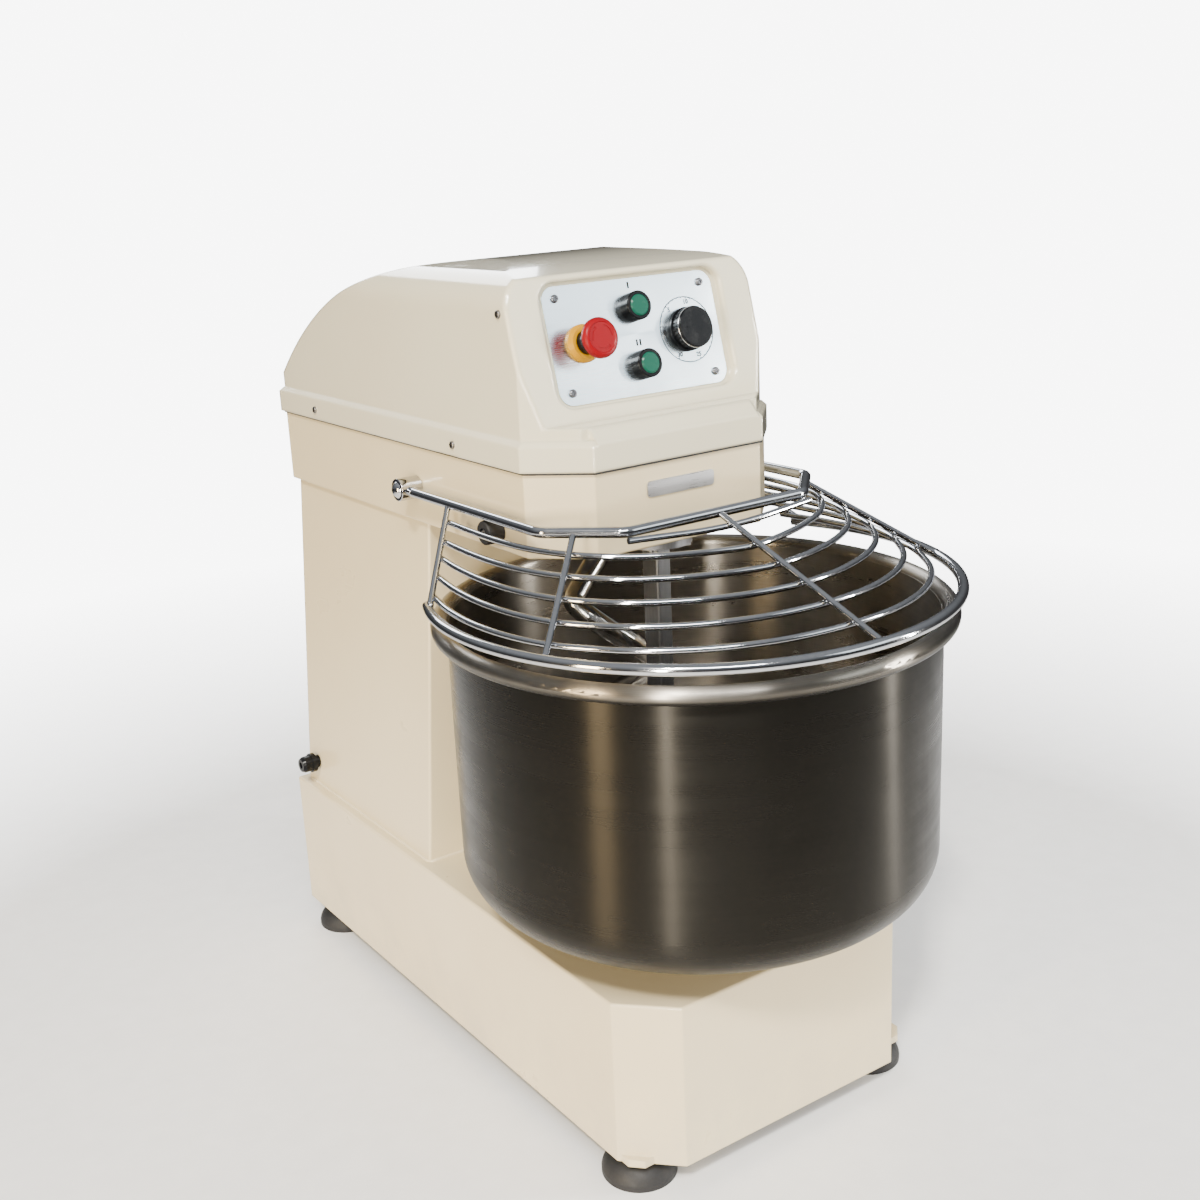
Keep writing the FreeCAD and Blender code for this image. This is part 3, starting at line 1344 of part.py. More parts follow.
# ---------------------------------------------------------------- drive to the bowl
def make_countershaft():
    line = [(19, 0), (54, 0), (54, 9), (32, 9), (32, 24), (19, 24), (19, 20), (26, 20), (26, 5), (19, 5), (19, 0)]
    face = Part.Face(Part.makePolygon([FreeCAD.Vector(r, 0, z) for r, z in line]))
    unit = face.revolve(FreeCAD.Vector(0, 0, 0), Z_AXIS, 360)
    for spot in bolt_spots(0, size("unit_bolt"), -1):
        unit = unit.cut(Part.makeCylinder(size("bolt_hole"), 12, spot))
    levels = (size("base_top"), size("head_bottom") + size("head_plate"))
    units = copies(unit, [FreeCAD.Vector(0, 0, z) for z in levels])
    shape_node("countershaft_bearing_units", units, "0", "countershaft_y")
    radius = "countershaft_radius"
    turned("countershaft", [("0", "104"), (radius, "104"), (radius, "728"), ("0", "728")], "0", "countershaft_y")
    profile = [(radius, "642"), ("28", "642")] + webbed_rim("input_pitch", "level_motor", "28")
    profile += [("28", "level_spiral")] + belt_rim("spiral_drive_pitch", "level_spiral")
    profile += [(radius, "level_spiral + pulley_width")]
    turned("countershaft_top_pulley", profile, "0", "countershaft_y")
    small_pulley("countershaft_bowl_pulley", "bowl_drive_pitch", radius, "level_layshaft", "countershaft_y")


def make_layshaft():
    body = turned("layshaft_bearing_housing", [
        ("18", "149"), ("32", "149"), ("32", "192"), ("50", "192"), ("50", "201"), ("18", "201"),
        ("18", "198"), ("26", "198"), ("26", "153"), ("18", "153"),
    ], "0", "layshaft_y")
    drill(body, "layshaft_bolt_holes", square_of("0", "0", "layshaft_bolt"), "bolt_hole", "202", "12")
    radius = "layshaft_radius"
    turned("layshaft", [("0", "60"), (radius, "60"), (radius, "199"), ("0", "199")], "0", "layshaft_y")
    profile = [(radius, "level_bowl")] + belt_rim("layshaft_small_pitch", "level_bowl")
    profile += [("22", "level_bowl + pulley_width")] + webbed_rim("layshaft_big_pitch", "level_layshaft", "22")
    profile += [("22", "138"), (radius, "138")]
    turned("layshaft_pulley", profile, "0", "layshaft_y")


def make_bowl_drive():
    body = turned("bowl_bearing_housing", [
        ("24", "100"), ("48", "100"), ("48", "205"), ("70", "205"), ("70", "215"), ("24", "215"),
        ("24", "212"), ("40", "212"), ("40", "103"), ("24", "103"),
    ])
    drill(body, "bowl_housing_bolt_holes", square_of("0", "0", "bowl_bolt"), "bolt_hole", "216", "12")
    radius = "bowl_shaft_radius"
    turned("bowl_shaft", [("0", "60"), (radius, "60"), (radius, "240"), ("0", "240")])
    turned("bowl_carrier", [
        (radius, "218"), ("38", "218"), ("44", "232"), ("128", "236"), ("132", "239"),
        ("132", "bowl_bottom"), ("0", "bowl_bottom"), ("0", "240"), (radius, "240"),
    ])
    hub_pulley("bowl_pulley", "bowl_pitch", radius, "level_bowl", "36", "0")


# ---------------------------------------------------------------- motor
def make_motor():
    """Flange motor hung under the head plate, shaft up; its wound core is pressed into the case."""
    top = size("head_bottom")
    housing = ring_solid(14.05, 100, top - 10, 10)
    housing = housing.fuse(ring_solid(66, 72, 356, top - 366))
    housing = housing.fuse(ring_solid(14.05, 72, 350, 8))
    housing = housing.fuse(ring_solid(46, 66, 400, 140))
    for number in range(24):
        fin = Part.makeBox(6.5, 2.2, 200, FreeCAD.Vector(71.5, -1.1, 366))
        fin.rotate(FreeCAD.Vector(0, 0, 0), Z_AXIS, 15 * number + 7.5)
        housing = housing.fuse(fin)
    box = Part.makeBox(30, 70, 60, FreeCAD.Vector(70, -35, 500))
    housing = housing.fuse(box.makeFillet(3, box.Edges))
    for spot in bolt_spots(0, size("motor_bolt"), top - 20):
        housing = housing.cut(Part.makeCylinder(size("bolt_hole"), 30, spot))
    shape_node("motor_housing", housing.removeSplitter(), "0", "motor_y")
    radius = "motor_shaft_radius"
    turned("motor_rotor", [
        ("0", "352"), (radius, "352"), (radius, "400"), ("45.4", "400"), ("45.4", "540"), (radius, "540"),
        (radius, "676"), ("0", "676"),
    ], "0", "motor_y")
    small_pulley("motor_pulley", "motor_pitch", radius, "level_motor", "motor_y")


def make_contactors():
    """One contactor each side of the motor pulley, on the floor of the head."""
    floor = size("head_bottom") + size("head_plate")
    contactor = Part.makeBox(45, 70, 62, FreeCAD.Vector(80, 470, floor))
    contactor = contactor.fuse(Part.makeBox(45, 42, 14, FreeCAD.Vector(80, 484, floor + 62)))
    shape_node("contactors", both_sides(contactor))


make_base()
make_feet()
make_column()
make_rear_panel()
make_cable_gland()
make_head_housing()
make_nameplate()
make_cover()
make_panel_screws()
make_plate_screws()
make_hex_bolts()
make_control_plate()
make_contact_blocks()
make_buttons()
make_estop()
make_timer()
make_top_rod()
make_ring()
make_arc_wires()
make_ribs()
make_guard_hinge()
make_guard_switch()
make_bumpers()
make_bowl()
make_belts()
make_bearings()
make_spiral_drive()
make_hook()
make_breaker()
make_countershaft()
make_layshaft()
make_bowl_drive()
make_motor()
make_contactors()
doc.recompute()

os.makedirs("parts", exist_ok=True)
for item in doc.Objects:
    if "Invalid" in item.State or "Error" in item.State:
        raise RuntimeError("feature %s did not rebuild" % item.Name)
for name, feature in NODES:
    shape = feature.Shape
    if shape.isNull() or not shape.isValid():
        raise RuntimeError("shape %s is not valid" % name)
    shape.exportStep("parts/%s.step" % name)
print(len(NODES), "nodes exported")
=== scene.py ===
import json
import math

import bmesh
import bpy
from mathutils import Matrix, Vector
from mathutils.kdtree import KDTree


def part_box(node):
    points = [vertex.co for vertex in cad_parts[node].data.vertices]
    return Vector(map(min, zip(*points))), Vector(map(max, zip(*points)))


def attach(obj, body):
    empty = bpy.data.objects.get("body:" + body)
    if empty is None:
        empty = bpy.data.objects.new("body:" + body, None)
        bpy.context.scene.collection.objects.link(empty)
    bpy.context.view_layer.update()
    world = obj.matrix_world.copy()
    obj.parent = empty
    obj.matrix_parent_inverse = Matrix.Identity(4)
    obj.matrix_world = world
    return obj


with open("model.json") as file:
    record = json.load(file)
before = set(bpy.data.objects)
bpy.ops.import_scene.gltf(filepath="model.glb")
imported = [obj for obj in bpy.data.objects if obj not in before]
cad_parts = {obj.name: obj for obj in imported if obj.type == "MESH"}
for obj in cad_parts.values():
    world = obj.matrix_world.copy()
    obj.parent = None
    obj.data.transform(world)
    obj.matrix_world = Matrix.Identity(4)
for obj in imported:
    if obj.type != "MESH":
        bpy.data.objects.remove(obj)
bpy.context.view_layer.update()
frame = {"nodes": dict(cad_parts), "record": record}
NODES = frame["nodes"]

# All places and sizes are in metres, in the part's own frame.
BOWL_Y = -0.17425  # the bowl's axis
BOWL_TOP = 0.5535  # top of the rolled rim
UP = Vector((0.0, 0.0, 1.0))


# ---------------------------------------------------------------- node helpers
class Surface:
    """One procedural material: a Principled shader and short calls that add nodes to it."""

    def __init__(self, name):
        self.material = bpy.data.materials.new(name)
        self.material.use_nodes = True
        self.tree = self.material.node_tree
        self.tree.nodes.clear()
        output = self.tree.nodes.new("ShaderNodeOutputMaterial")
        self.shader = self.tree.nodes.new("ShaderNodeBsdfPrincipled")
        self.link(self.shader.outputs[0], output.inputs[0])
        self.place = self.tree.nodes.new("ShaderNodeTexCoord").outputs["Object"]
        self.normal = None

    def link(self, source, target):
        self.tree.links.new(source, target)

    def feed(self, socket, value):
        """Links the value to the socket, or sets it when it is a constant."""
        if hasattr(value, "is_output"):
            self.link(value, socket)
        else:
            socket.default_value = value

    def set(self, socket, value):
        self.shader.inputs[socket].default_value = value

    def math(self, operation, a, b=0.0, clamp=False):
        node = self.tree.nodes.new("ShaderNodeMath")
        node.operation = operation
        node.use_clamp = clamp
        self.feed(node.inputs[0], a)
        self.feed(node.inputs[1], b)
        return node.outputs[0]

    def times(self, a, b):
        return self.math("MULTIPLY", a, b)

    def plus(self, a, b):
        return self.math("ADD", a, b)

    def vector(self, x, y, z):
        node = self.tree.nodes.new("ShaderNodeCombineXYZ")
        for socket, value in zip(node.inputs, (x, y, z)):
            self.feed(socket, value)
        return node.outputs[0]

    def axes(self, source=None):
        """(x, y, z) of a vector socket, or of the object coordinates."""
        node = self.tree.nodes.new("ShaderNodeSeparateXYZ")
        self.link(source or self.place, node.inputs[0])
        return tuple(node.outputs)

    def around(self, y0=0.0):
        """(angle, radius, height) round the vertical axis through (0, y0)."""
        x, y, z = self.axes()
        y = self.math("SUBTRACT", y, y0)
        radius = self.math("SQRT", self.plus(self.times(x, x), self.times(y, y)))
        return self.math("ARCTAN2", y, x), radius, z

    def stretched(self, scale):
        """Object coordinates scaled by (x, y, z)."""
        node = self.tree.nodes.new("ShaderNodeMapping")
        self.link(self.place, node.inputs["Vector"])
        node.inputs["Scale"].default_value = scale
        return node.outputs[0]

    def noise(self, scale, detail=3.0, rough=0.5, where=None):
        node = self.tree.nodes.new("ShaderNodeTexNoise")
        self.link(where or self.place, node.inputs["Vector"])
        node.inputs["Scale"].default_value = scale
        node.inputs["Detail"].default_value = detail
        node.inputs["Roughness"].default_value = rough
        return node.outputs["Fac"]

    def ramp(self, value, low, high, from_low=0.0, from_high=1.0):
        """Value mapped linearly from one range to another, clamped."""
        node = self.tree.nodes.new("ShaderNodeMapRange")
        self.link(value, node.inputs["Value"])
        node.inputs["From Min"].default_value = from_low
        node.inputs["From Max"].default_value = from_high
        node.inputs["To Min"].default_value = low
        node.inputs["To Max"].default_value = high
        return node.outputs["Result"]

    def blend(self, factor, a, b):
        """Colour mixed from a to b by a factor; each is a colour or a socket."""
        node = self.tree.nodes.new("ShaderNodeMix")
        node.data_type = "RGBA"
        self.link(factor, node.inputs[0])
        for socket, value in ((node.inputs[6], a), (node.inputs[7], b)):
            self.feed(socket, value if hasattr(value, "is_output") else (*value, 1.0))
        return node.outputs[2]

    def color(self, socket):
        self.link(socket, self.shader.inputs["Base Color"])

    def rough(self, socket):
        self.link(socket, self.shader.inputs["Roughness"])

    def eased_edges(self, radius):
        """Shades sharp edges as if they were rounded; comes before any bump."""
        node = self.tree.nodes.new("ShaderNodeBevel")
        node.samples = 6
        node.inputs["Radius"].default_value = radius
        self.normal = node.outputs["Normal"]
        self.link(self.normal, self.shader.inputs["Coat Normal"])

    def bump(self, height, strength, distance):
        """Adds one layer of relief over those before it; distance is its height."""
        node = self.tree.nodes.new("ShaderNodeBump")
        node.inputs["Strength"].default_value = strength
        node.inputs["Distance"].default_value = distance
        self.link(height, node.inputs["Height"])
        if self.normal is not None:
            self.link(self.normal, node.inputs["Normal"])
        self.normal = node.outputs["Normal"]
        self.link(self.normal, self.shader.inputs["Normal"])


def toned(color, share, lift=0.0):
    """The colour made darker by a share, then lifted a little."""
    return tuple(share * c + lift for c in color)


# ---------------------------------------------------------------- finishes
FLOOR_DUST = (0.47, 0.42, 0.34)
DUST_LOW, DUST_HIGH = 0.028, 0.16  # dust thins out between these heights


def painted(name, color, shade, gloss=(0.26, 0.4), peel=0.5, coat=0.25, edge=0.0025):
    """Sprayed paint: cloudy tone, dust near the floor, faint scuffs, orange peel."""
    s = Surface(name)
    s.eased_edges(edge)
    cloud = s.noise(3.5, 3.0, 0.55)
    tone = s.blend(s.ramp(cloud, 0.0, 1.0, 0.35, 0.7), color, shade)
    spots = s.ramp(s.noise(38.0, 6.0, 0.65), 0.0, 1.0, 0.66, 0.78)
    tone = s.blend(s.times(spots, 0.22), tone, toned(shade, 0.62))
    low = s.ramp(s.axes()[2], 1.0, 0.0, DUST_LOW, DUST_HIGH)
    dusty = s.times(low, s.ramp(s.noise(14.0, 5.0, 0.7), 0.0, 0.5, 0.4, 0.75))
    s.color(s.blend(dusty, tone, FLOOR_DUST))
    scuffs = s.ramp(s.noise(1.0, 4.0, 0.6, s.stretched((9.0, 9.0, 260.0))), 0.0, 0.12, 0.6, 0.75)
    level = s.plus(s.ramp(s.noise(7.0, 4.0, 0.6), *gloss, 0.3, 0.7), scuffs)
    s.rough(s.math("ADD", level, s.times(dusty, 0.25), clamp=True))
    s.bump(s.noise(420.0, 2.0, 0.4), 0.06 * peel, 0.0004)
    s.bump(s.noise(26.0, 2.0, 0.4), 0.10 * peel, 0.0012)
    s.set("Specular IOR Level", 0.5)
    s.set("Coat Weight", coat)
    s.set("Coat Roughness", 0.05)
    return s


def spun_steel(name, color, painted_reflection_tone, y0, top, rough, rings, aniso):
    """Stainless steel polished while turning: fine rings, streaks and smudges.

    Painted reflection and highlight: faces turned up or inward, and the rolled rim just below the
    top, get a paler colour than the outside wall.
    """
    s = Surface(name)
    angle, radius, z = s.around(y0)
    facing = s.tree.nodes.new("ShaderNodeNewGeometry").outputs["Normal"]
    outward = s.tree.nodes.new("ShaderNodeVectorMath")
    outward.operation = "DOT_PRODUCT"
    s.link(facing, outward.inputs[0])
    s.link(s.vector(s.math("COSINE", angle), s.math("SINE", angle), 0.0), outward.inputs[1])
    # Painted reflection: faces turned up or inward take the paler tone.
    inward = s.math("SUBTRACT", s.axes(facing)[2], outward.outputs["Value"])
    painted_reflection_inside = s.ramp(inward, 0.0, 1.0, 0.1, 0.5)
    # Painted highlight: the rolled rim near the top takes the paler tone too.
    rim = s.ramp(z, 0.0, 1.0, top - 0.016, top - 0.010)
    slow_turn = s.times(angle, 1.2)
    rows = s.noise(1.0, 4.0, 0.65, s.vector(slow_turn, 0.0, s.times(z, 900.0)))
    discs = s.noise(1.0, 4.0, 0.65, s.vector(slow_turn, 0.0, s.times(radius, 900.0)))
    hair = s.times(s.plus(rows, discs), 0.5)
    bands = s.noise(1.0, 2.0, 0.5, s.vector(s.times(angle, 0.6), 0.0, s.times(z, 55.0)))
    smudge = s.noise(9.0, 4.0, 0.6)
    # The painted reflection and rim highlight are mixed into the steel colour here.
    tone = s.blend(s.math("MAXIMUM", painted_reflection_inside, rim), color, painted_reflection_tone)
    tone = s.blend(s.ramp(smudge, 0.0, 0.35, 0.35, 0.7), tone, toned(color, 0.82))
    s.color(s.blend(s.ramp(hair, 0.0, 0.22, 0.4, 0.65), tone, toned(color, 0.7)))
    level = s.plus(s.ramp(hair, *rough, 0.35, 0.65), s.ramp(smudge, 0.0, 0.08, 0.45, 0.7))
    s.rough(s.plus(level, s.ramp(bands, -0.02, 0.025, 0.35, 0.65)))
    s.set("Metallic", 1.0)
    s.set("Anisotropic", aniso)
    s.set("Anisotropic Rotation", 0.25)
    tangent = s.tree.nodes.new("ShaderNodeTangent")
    tangent.direction_type = "RADIAL"
    tangent.axis = "Z"
    s.link(tangent.outputs[0], s.shader.inputs["Tangent"])
    s.bump(hair, 0.10 * rings, 0.0002)
    s.bump(bands, 0.03 * rings, 0.0006)
    return s


def bright(name, color, rough, grain=0.4):
    """Plated or polished bar: slight waviness, water spots and tiny scratches."""
    s = Surface(name)
    spots = s.noise(60.0, 5.0, 0.7)
    s.color(s.blend(s.ramp(spots, 0.0, 0.6, 0.5, 0.8), color, toned(color, 0.72)))
    fine = s.noise(900.0, 3.0, 0.6)
    s.rough(s.plus(s.ramp(spots, *rough, 0.35, 0.75), s.ramp(fine, 0.0, 0.05, 0.4, 0.7)))
    s.set("Metallic", 1.0)
    s.bump(s.noise(45.0, 2.0, 0.5), 0.10 * grain, 0.0006)
    s.bump(fine, 0.05 * grain, 0.0001)
    return s


def brushed(name, color, stretch, rough=(0.24, 0.4), relief=0.12):
    """Sheet or bar brushed one way; the noise stretch is small along the brushing."""
    s = Surface(name)
    lines = s.noise(1.0, 5.0, 0.7, s.stretched(stretch))
    patch = s.noise(12.0, 4.0, 0.6)
    s.color(s.blend(s.ramp(lines, 0.0, 0.5, 0.4, 0.68), color, toned(color, 0.74)))
    s.rough(s.plus(s.ramp(lines, *rough, 0.35, 0.65), s.ramp(patch, 0.0, 0.08, 0.4, 0.7)))
    s.set("Metallic", 1.0)
    s.set("Anisotropic", 0.35)
    s.bump(lines, relief, 0.0002)
    return s


def plastic(name, color, rough, texture=0.4, wear=0.25):
    """Moulded plastic: fine grain, finger marks and slightly paler rubbed spots."""
    s = Surface(name)
    marks = s.noise(55.0, 5.0, 0.65)
    rubbed = s.times(s.ramp(marks, 0.0, 1.0, 0.5, 0.78), wear)
    s.color(s.blend(rubbed, color, toned(color, 0.82, 0.045)))
    s.rough(s.ramp(marks, *rough, 0.32, 0.7))
    s.bump(s.noise(1600.0, 2.0, 0.5), 0.10 * texture, 0.0001)
    s.bump(s.noise(90.0, 2.0, 0.5), 0.08 * texture, 0.0003)
    s.set("Specular IOR Level", 0.13)
    return s


def rubber(name, color, dusty):
    """Matt rubber with a little grey dust."""
    s = Surface(name)
    dust = s.noise(70.0, 6.0, 0.7)
    s.color(s.blend(s.ramp(dust, 0.0, 0.4, 0.55, 0.85), color, dusty))
    s.rough(s.ramp(dust, 0.5, 0.82, 0.3, 0.75))
    s.bump(s.noise(700.0, 4.0, 0.6), 0.25, 0.0002)
    return s


def cast(name, color, pale):
    """Sand-cast metal with a coarse grain."""
    s = Surface(name)
    grain = s.noise(300.0, 5.0, 0.65)
    s.color(s.blend(s.ramp(grain, 0.0, 1.0, 0.35, 0.7), color, pale))
    s.rough(s.ramp(grain, 0.42, 0.68, 0.3, 0.7))
    s.set("Metallic", 0.7)
    s.bump(grain, 0.35, 0.0004)
    return s


def printed(name, color):
    """Printed marks: solid ink with slightly uneven cover."""
    s = Surface(name)
    cover = s.noise(500.0, 3.0, 0.6)
    s.color(s.blend(s.ramp(cover, 0.0, 0.4, 0.5, 0.8), color, toned(color, 0.8, 0.03)))
    s.rough(s.ramp(cover, 0.6, 0.75))
    s.set("Specular IOR Level", 0.12)
    s.bump(cover, 0.05, 0.00005)
    return s


# One finish for each material slot of the record.
FINISHES = {
    "cream_paint": painted("cream_paint", (0.68, 0.575, 0.365), (0.65, 0.54, 0.335)),
    "cream_cover": painted(
        "cream_cover",
        (0.69, 0.64, 0.475),
        (0.665, 0.61, 0.445),
        gloss=(0.08, 0.16),
        peel=0.8,
        coat=1.0,
        edge=0.0045,
    ),
    "brushed_stainless": spun_steel(
        "brushed_stainless",
        # Near-black outside colour: painted dark reflection, far darker than bare stainless.
        (0.027, 0.0248, 0.021),
        # Paler colour for the inside and rim: painted reflection and highlight.
        (0.34, 0.31, 0.265),
        y0=BOWL_Y,
        top=BOWL_TOP,
        rough=(0.25, 0.31),
        rings=0.35,
        aniso=0.95,
    ),
    "bright_steel": bright("bright_steel", (0.50, 0.51, 0.53), (0.05, 0.13)),
    "machined_steel": brushed("machined_steel", (0.50, 0.50, 0.51), (420.0, 420.0, 14.0)),
    "cast_iron": cast("cast_iron", (0.11, 0.11, 0.115), (0.22, 0.215, 0.21)),
    "motor_grey": painted(
        "motor_grey", (0.10, 0.115, 0.13), (0.08, 0.09, 0.10), gloss=(0.35, 0.5), peel=0.8, coat=0.0
    ),
    "black_rubber": rubber("black_rubber", (0.008, 0.008, 0.009), (0.06, 0.055, 0.05)),
    "black_plastic": plastic("black_plastic", (0.0035, 0.004, 0.005), (0.16, 0.26)),
    "timer_steel": brushed("timer_steel", (0.6, 0.6, 0.6), (500.0, 500.0, 60.0)),
    "green_plastic": plastic("green_plastic", (0.006, 0.075, 0.048), (0.2, 0.3), wear=0.1),
    "yellow_plastic": plastic("yellow_plastic", (0.42, 0.20, 0.0005), (0.22, 0.34), wear=0.0),
    "red_plastic": plastic(
        "red_plastic", (0.20, 0.002, 0.006), (0.26, 0.38), texture=0.5, wear=0.1
    ),
    "blank_plate": brushed("blank_plate", (0.55, 0.55, 0.56), (14.0, 400.0, 900.0)),
}
# Nodes whose look differs from the rest of their slot.
SPECIAL = {
    # The plate's blue-white colour is a painted reflection of bright blue sky, not the steel's own
    # tint.
    "control_plate": brushed(
        "control_plate_steel", (0.84, 0.94, 1.0), (16.0, 1500.0, 1500.0), (0.15, 0.24), 0.04
    ),
    "spiral_hook": bright("polished_hook", (0.60, 0.59, 0.57), (0.1, 0.24), 0.8),
    "breaker_bar": brushed("satin_bar", (0.42, 0.43, 0.45), (500.0, 500.0, 12.0), (0.3, 0.48)),
    "panel_screws": bright("dull_screws", (0.22, 0.21, 0.20), (0.28, 0.45)),
    # The plate screws' dark colour is painted shade of the recesses they sit in.
    "control_plate_screws": bright("plate_screws", (0.17, 0.17, 0.18), (0.2, 0.34)),
}
for entry in frame["record"]["subparts"]:
    surface = SPECIAL.get(entry["node"]) or FINISHES[entry["material_slot"]]
    materials = NODES[entry["node"]].data.materials
    materials.clear()
    materials.append(surface.material)


# ---------------------------------------------------------------- making pieces
def add_mesh(name, verts, faces, surface, body, smooth=True):
    """One mesh piece with a finish, riding on a body."""
    mesh = bpy.data.meshes.new(name)
    mesh.from_pydata([tuple(v) for v in verts], [], faces)
    mesh.validate()
    work = bmesh.new()
    work.from_mesh(mesh)
    bmesh.ops.recalc_face_normals(work, faces=work.faces)
    work.to_mesh(mesh)
    work.free()
    for face in mesh.polygons:
        face.use_smooth = smooth
    mesh.materials.append(surface.material)
    piece = bpy.data.objects.new(name, mesh)
    bpy.context.scene.collection.objects.link(piece)
    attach(piece, body)
    return piece


def joined(parts):
    """Several (verts, faces) pairs as one."""
    verts, faces = [], []
    for more, rows in parts:
        start = len(verts)
        verts += more
        faces += [tuple(start + i for i in row) for row in rows]
    return verts, faces


def skin(rings, sides, closed=False):
    """Quads that join equal rings of points, one ring after another."""
    faces = []
    for i in range(rings if closed else rings - 1):
        j = (i + 1) % rings
        for k in range(sides):
            m = (k + 1) % sides
            faces.append((i * sides + k, i * sides + m, j * sides + m, j * sides + k))
    return faces


# ---------------------------------------------------------------- control plate
# Panel coordinates: x to the right and y up along the plate, z out of it.
PANEL = Matrix.Translation((0.0, 0.0755 + BOWL_Y, 0.8093)) @ Matrix.Rotation(
    math.radians(75.0), 4, "X"
)
INK_TOP = 0.0015 + 0.00012  # the plate's thickness and the ink's
TIMER_X, TIMER_Y = 0.063, 0.0
DIAL_SWEEP = 300.0
DIAL_LAST = 30  # minutes at the end of the sweep
DIAL_STEP = 5  # minutes between numbers
DIAL_RADIUS = 0.0335
DIAL_LINE = 0.0009
LONG_TICK, SHORT_TICK = 0.0019, 0.0012
NUMBER_RADIUS = 0.0284
NUMBER_SIZE = 0.0064
NUMBER_BOLD = 0.00022
BUTTON_Y = 0.029  # the two buttons lie this far above and below the middle
BAR_START = 0.0195  # above a button's centre
BAR_LENGTH, BAR_WIDTH, BAR_PITCH = 0.0064, 0.0021, 0.0042


def on_panel(verts):
    return [PANEL @ Vector(v) for v in verts]


def printed_line(path, width, closed=False):
    """Flat band of ink along (x, y) points of the plate."""
    verts, faces = [], []
    count = len(path)
    for i, (x, y) in enumerate(path):
        a = path[(i - 1) % count] if closed or i else path[0]
        b = path[(i + 1) % count] if closed or i < count - 1 else path[-1]
        tangent = Vector((b[0] - a[0], b[1] - a[1])).normalized()
        side = Vector((-tangent.y, tangent.x)) * width / 2
        verts += [(x + side.x, y + side.y, INK_TOP), (x - side.x, y - side.y, INK_TOP)]
    for i in range(count if closed else count - 1):
        j = (i + 1) % count
        faces.append((2 * i, 2 * i + 1, 2 * j + 1, 2 * j))
    return verts, faces


def dial_point(radius, share):
    """Point on the timer's dial; share runs 0 to 1 clockwise from the zero mark."""
    angle = math.radians(180.0 - DIAL_SWEEP * share)
    return (TIMER_X + radius * math.cos(angle), TIMER_Y + radius * math.sin(angle))


def dial_marks():
    """The dial's ring and a tick for each minute."""
    steps = 120
    full_turn = 360.0 / DIAL_SWEEP
    ring = [dial_point(DIAL_RADIUS, i / steps * full_turn) for i in range(steps)]
    marks = [printed_line(ring, DIAL_LINE, closed=True)]
    for minute in range(DIAL_LAST + 1):
        length = SHORT_TICK if minute % DIAL_STEP else LONG_TICK
        share = minute / DIAL_LAST
        ends = [dial_point(DIAL_RADIUS - length, share), dial_point(DIAL_RADIUS, share)]
        marks.append(printed_line(ends, DIAL_LINE))
    return marks


def speed_bars():
    """One bar over the low speed button and two over the high speed one."""
    bars = []
    for side, count in ((1, 1), (-1, 2)):
        y = side * BUTTON_Y + BAR_START
        for i in range(count):
            x = (i - (count - 1) / 2) * BAR_PITCH
            bars.append(printed_line([(x, y), (x, y + BAR_LENGTH)], BAR_WIDTH))
    return bars


def dial_number(value):
    """A number of the dial as (verts, faces)."""
    curve = bpy.data.curves.new("numeral", "FONT")
    curve.body = str(value)
    curve.size = NUMBER_SIZE
    curve.offset = NUMBER_BOLD
    curve.align_x = "CENTER"
    curve.align_y = "CENTER"
    writer = bpy.data.objects.new("numeral", curve)
    mesh = bpy.data.meshes.new_from_object(writer)
    x, y = dial_point(NUMBER_RADIUS, value / DIAL_LAST)
    verts = [(v.co.x + x, v.co.y + y, INK_TOP) for v in mesh.vertices]
    faces = [tuple(face.vertices) for face in mesh.polygons]
    bpy.data.objects.remove(writer)
    bpy.data.curves.remove(curve)
    return verts, faces


def make_trim_ring():
    """Steel ring set into the knob's edge, a little below its top."""
    to_panel = PANEL.inverted()
    knob = [to_panel @ vertex.co for vertex in NODES["timer_knob"].data.vertices]
    top = max(v.z for v in knob)
    reach = max(math.hypot(v.x - TIMER_X, v.y - TIMER_Y) for v in knob if v.z > top - 0.004)
    turns, sides = 72, 8
    verts = []
    for i in range(turns):
        turn = 2 * math.pi * i / turns
        for k in range(sides):
            swing = 2 * math.pi * k / sides
            radius = reach + 0.00005 + 0.00055 * math.cos(swing)
            height = top - 0.0030 + 0.0007 * math.sin(swing)
            verts.append(
                (TIMER_X + radius * math.cos(turn), TIMER_Y + radius * math.sin(turn), height)
            )
    trim = bright("trim_ring_steel", (0.72, 0.72, 0.73), (0.08, 0.16))
    faces = skin(turns, sides, closed=True)
    add_mesh("timer_trim_ring", on_panel(verts), faces, trim, "timer")


ink = printed("black_ink", (0.004, 0.004, 0.005))
verts, faces = joined(dial_marks() + speed_bars())
add_mesh("control_plate_marks", on_panel(verts), faces, ink, "frame", smooth=False)
verts, faces = joined([dial_number(value) for value in range(0, DIAL_LAST + 1, DIAL_STEP)])
add_mesh("timer_dial_numbers", on_panel(verts), faces, ink, "frame", smooth=False)
make_trim_ring()

# ---------------------------------------------------------------- seams, welds and a painted shadow strip
SEAM_RADIUS = 0.0021
SEAM_STEP = 0.006
WELD_RADIUS = 0.0036


def bead(path, radius, wobble, seed):
    """Half-buried round seam along 3-D points, uneven like a hand-laid one."""
    verts = []
    sides = 8
    count = len(path)
    for i, point in enumerate(path):
        tangent = (path[min(i + 1, count - 1)] - path[max(i - 1, 0)]).normalized()
        side = tangent.cross(UP).normalized()
        up = side.cross(tangent)
        size = radius * (1.0 + wobble * math.sin(1.7 * i + seed) * math.cos(0.63 * i + 2 * seed))
        if i in (0, count - 1):
            size *= 0.3
        for k in range(sides):
            angle = 2 * math.pi * k / sides
            verts.append(point + size * (math.cos(angle) * side + math.sin(angle) * up))
    faces = skin(count, sides)
    faces.append(tuple(range(sides)))
    faces.append(tuple((count - 1) * sides + k for k in range(sides)))
    return verts, faces


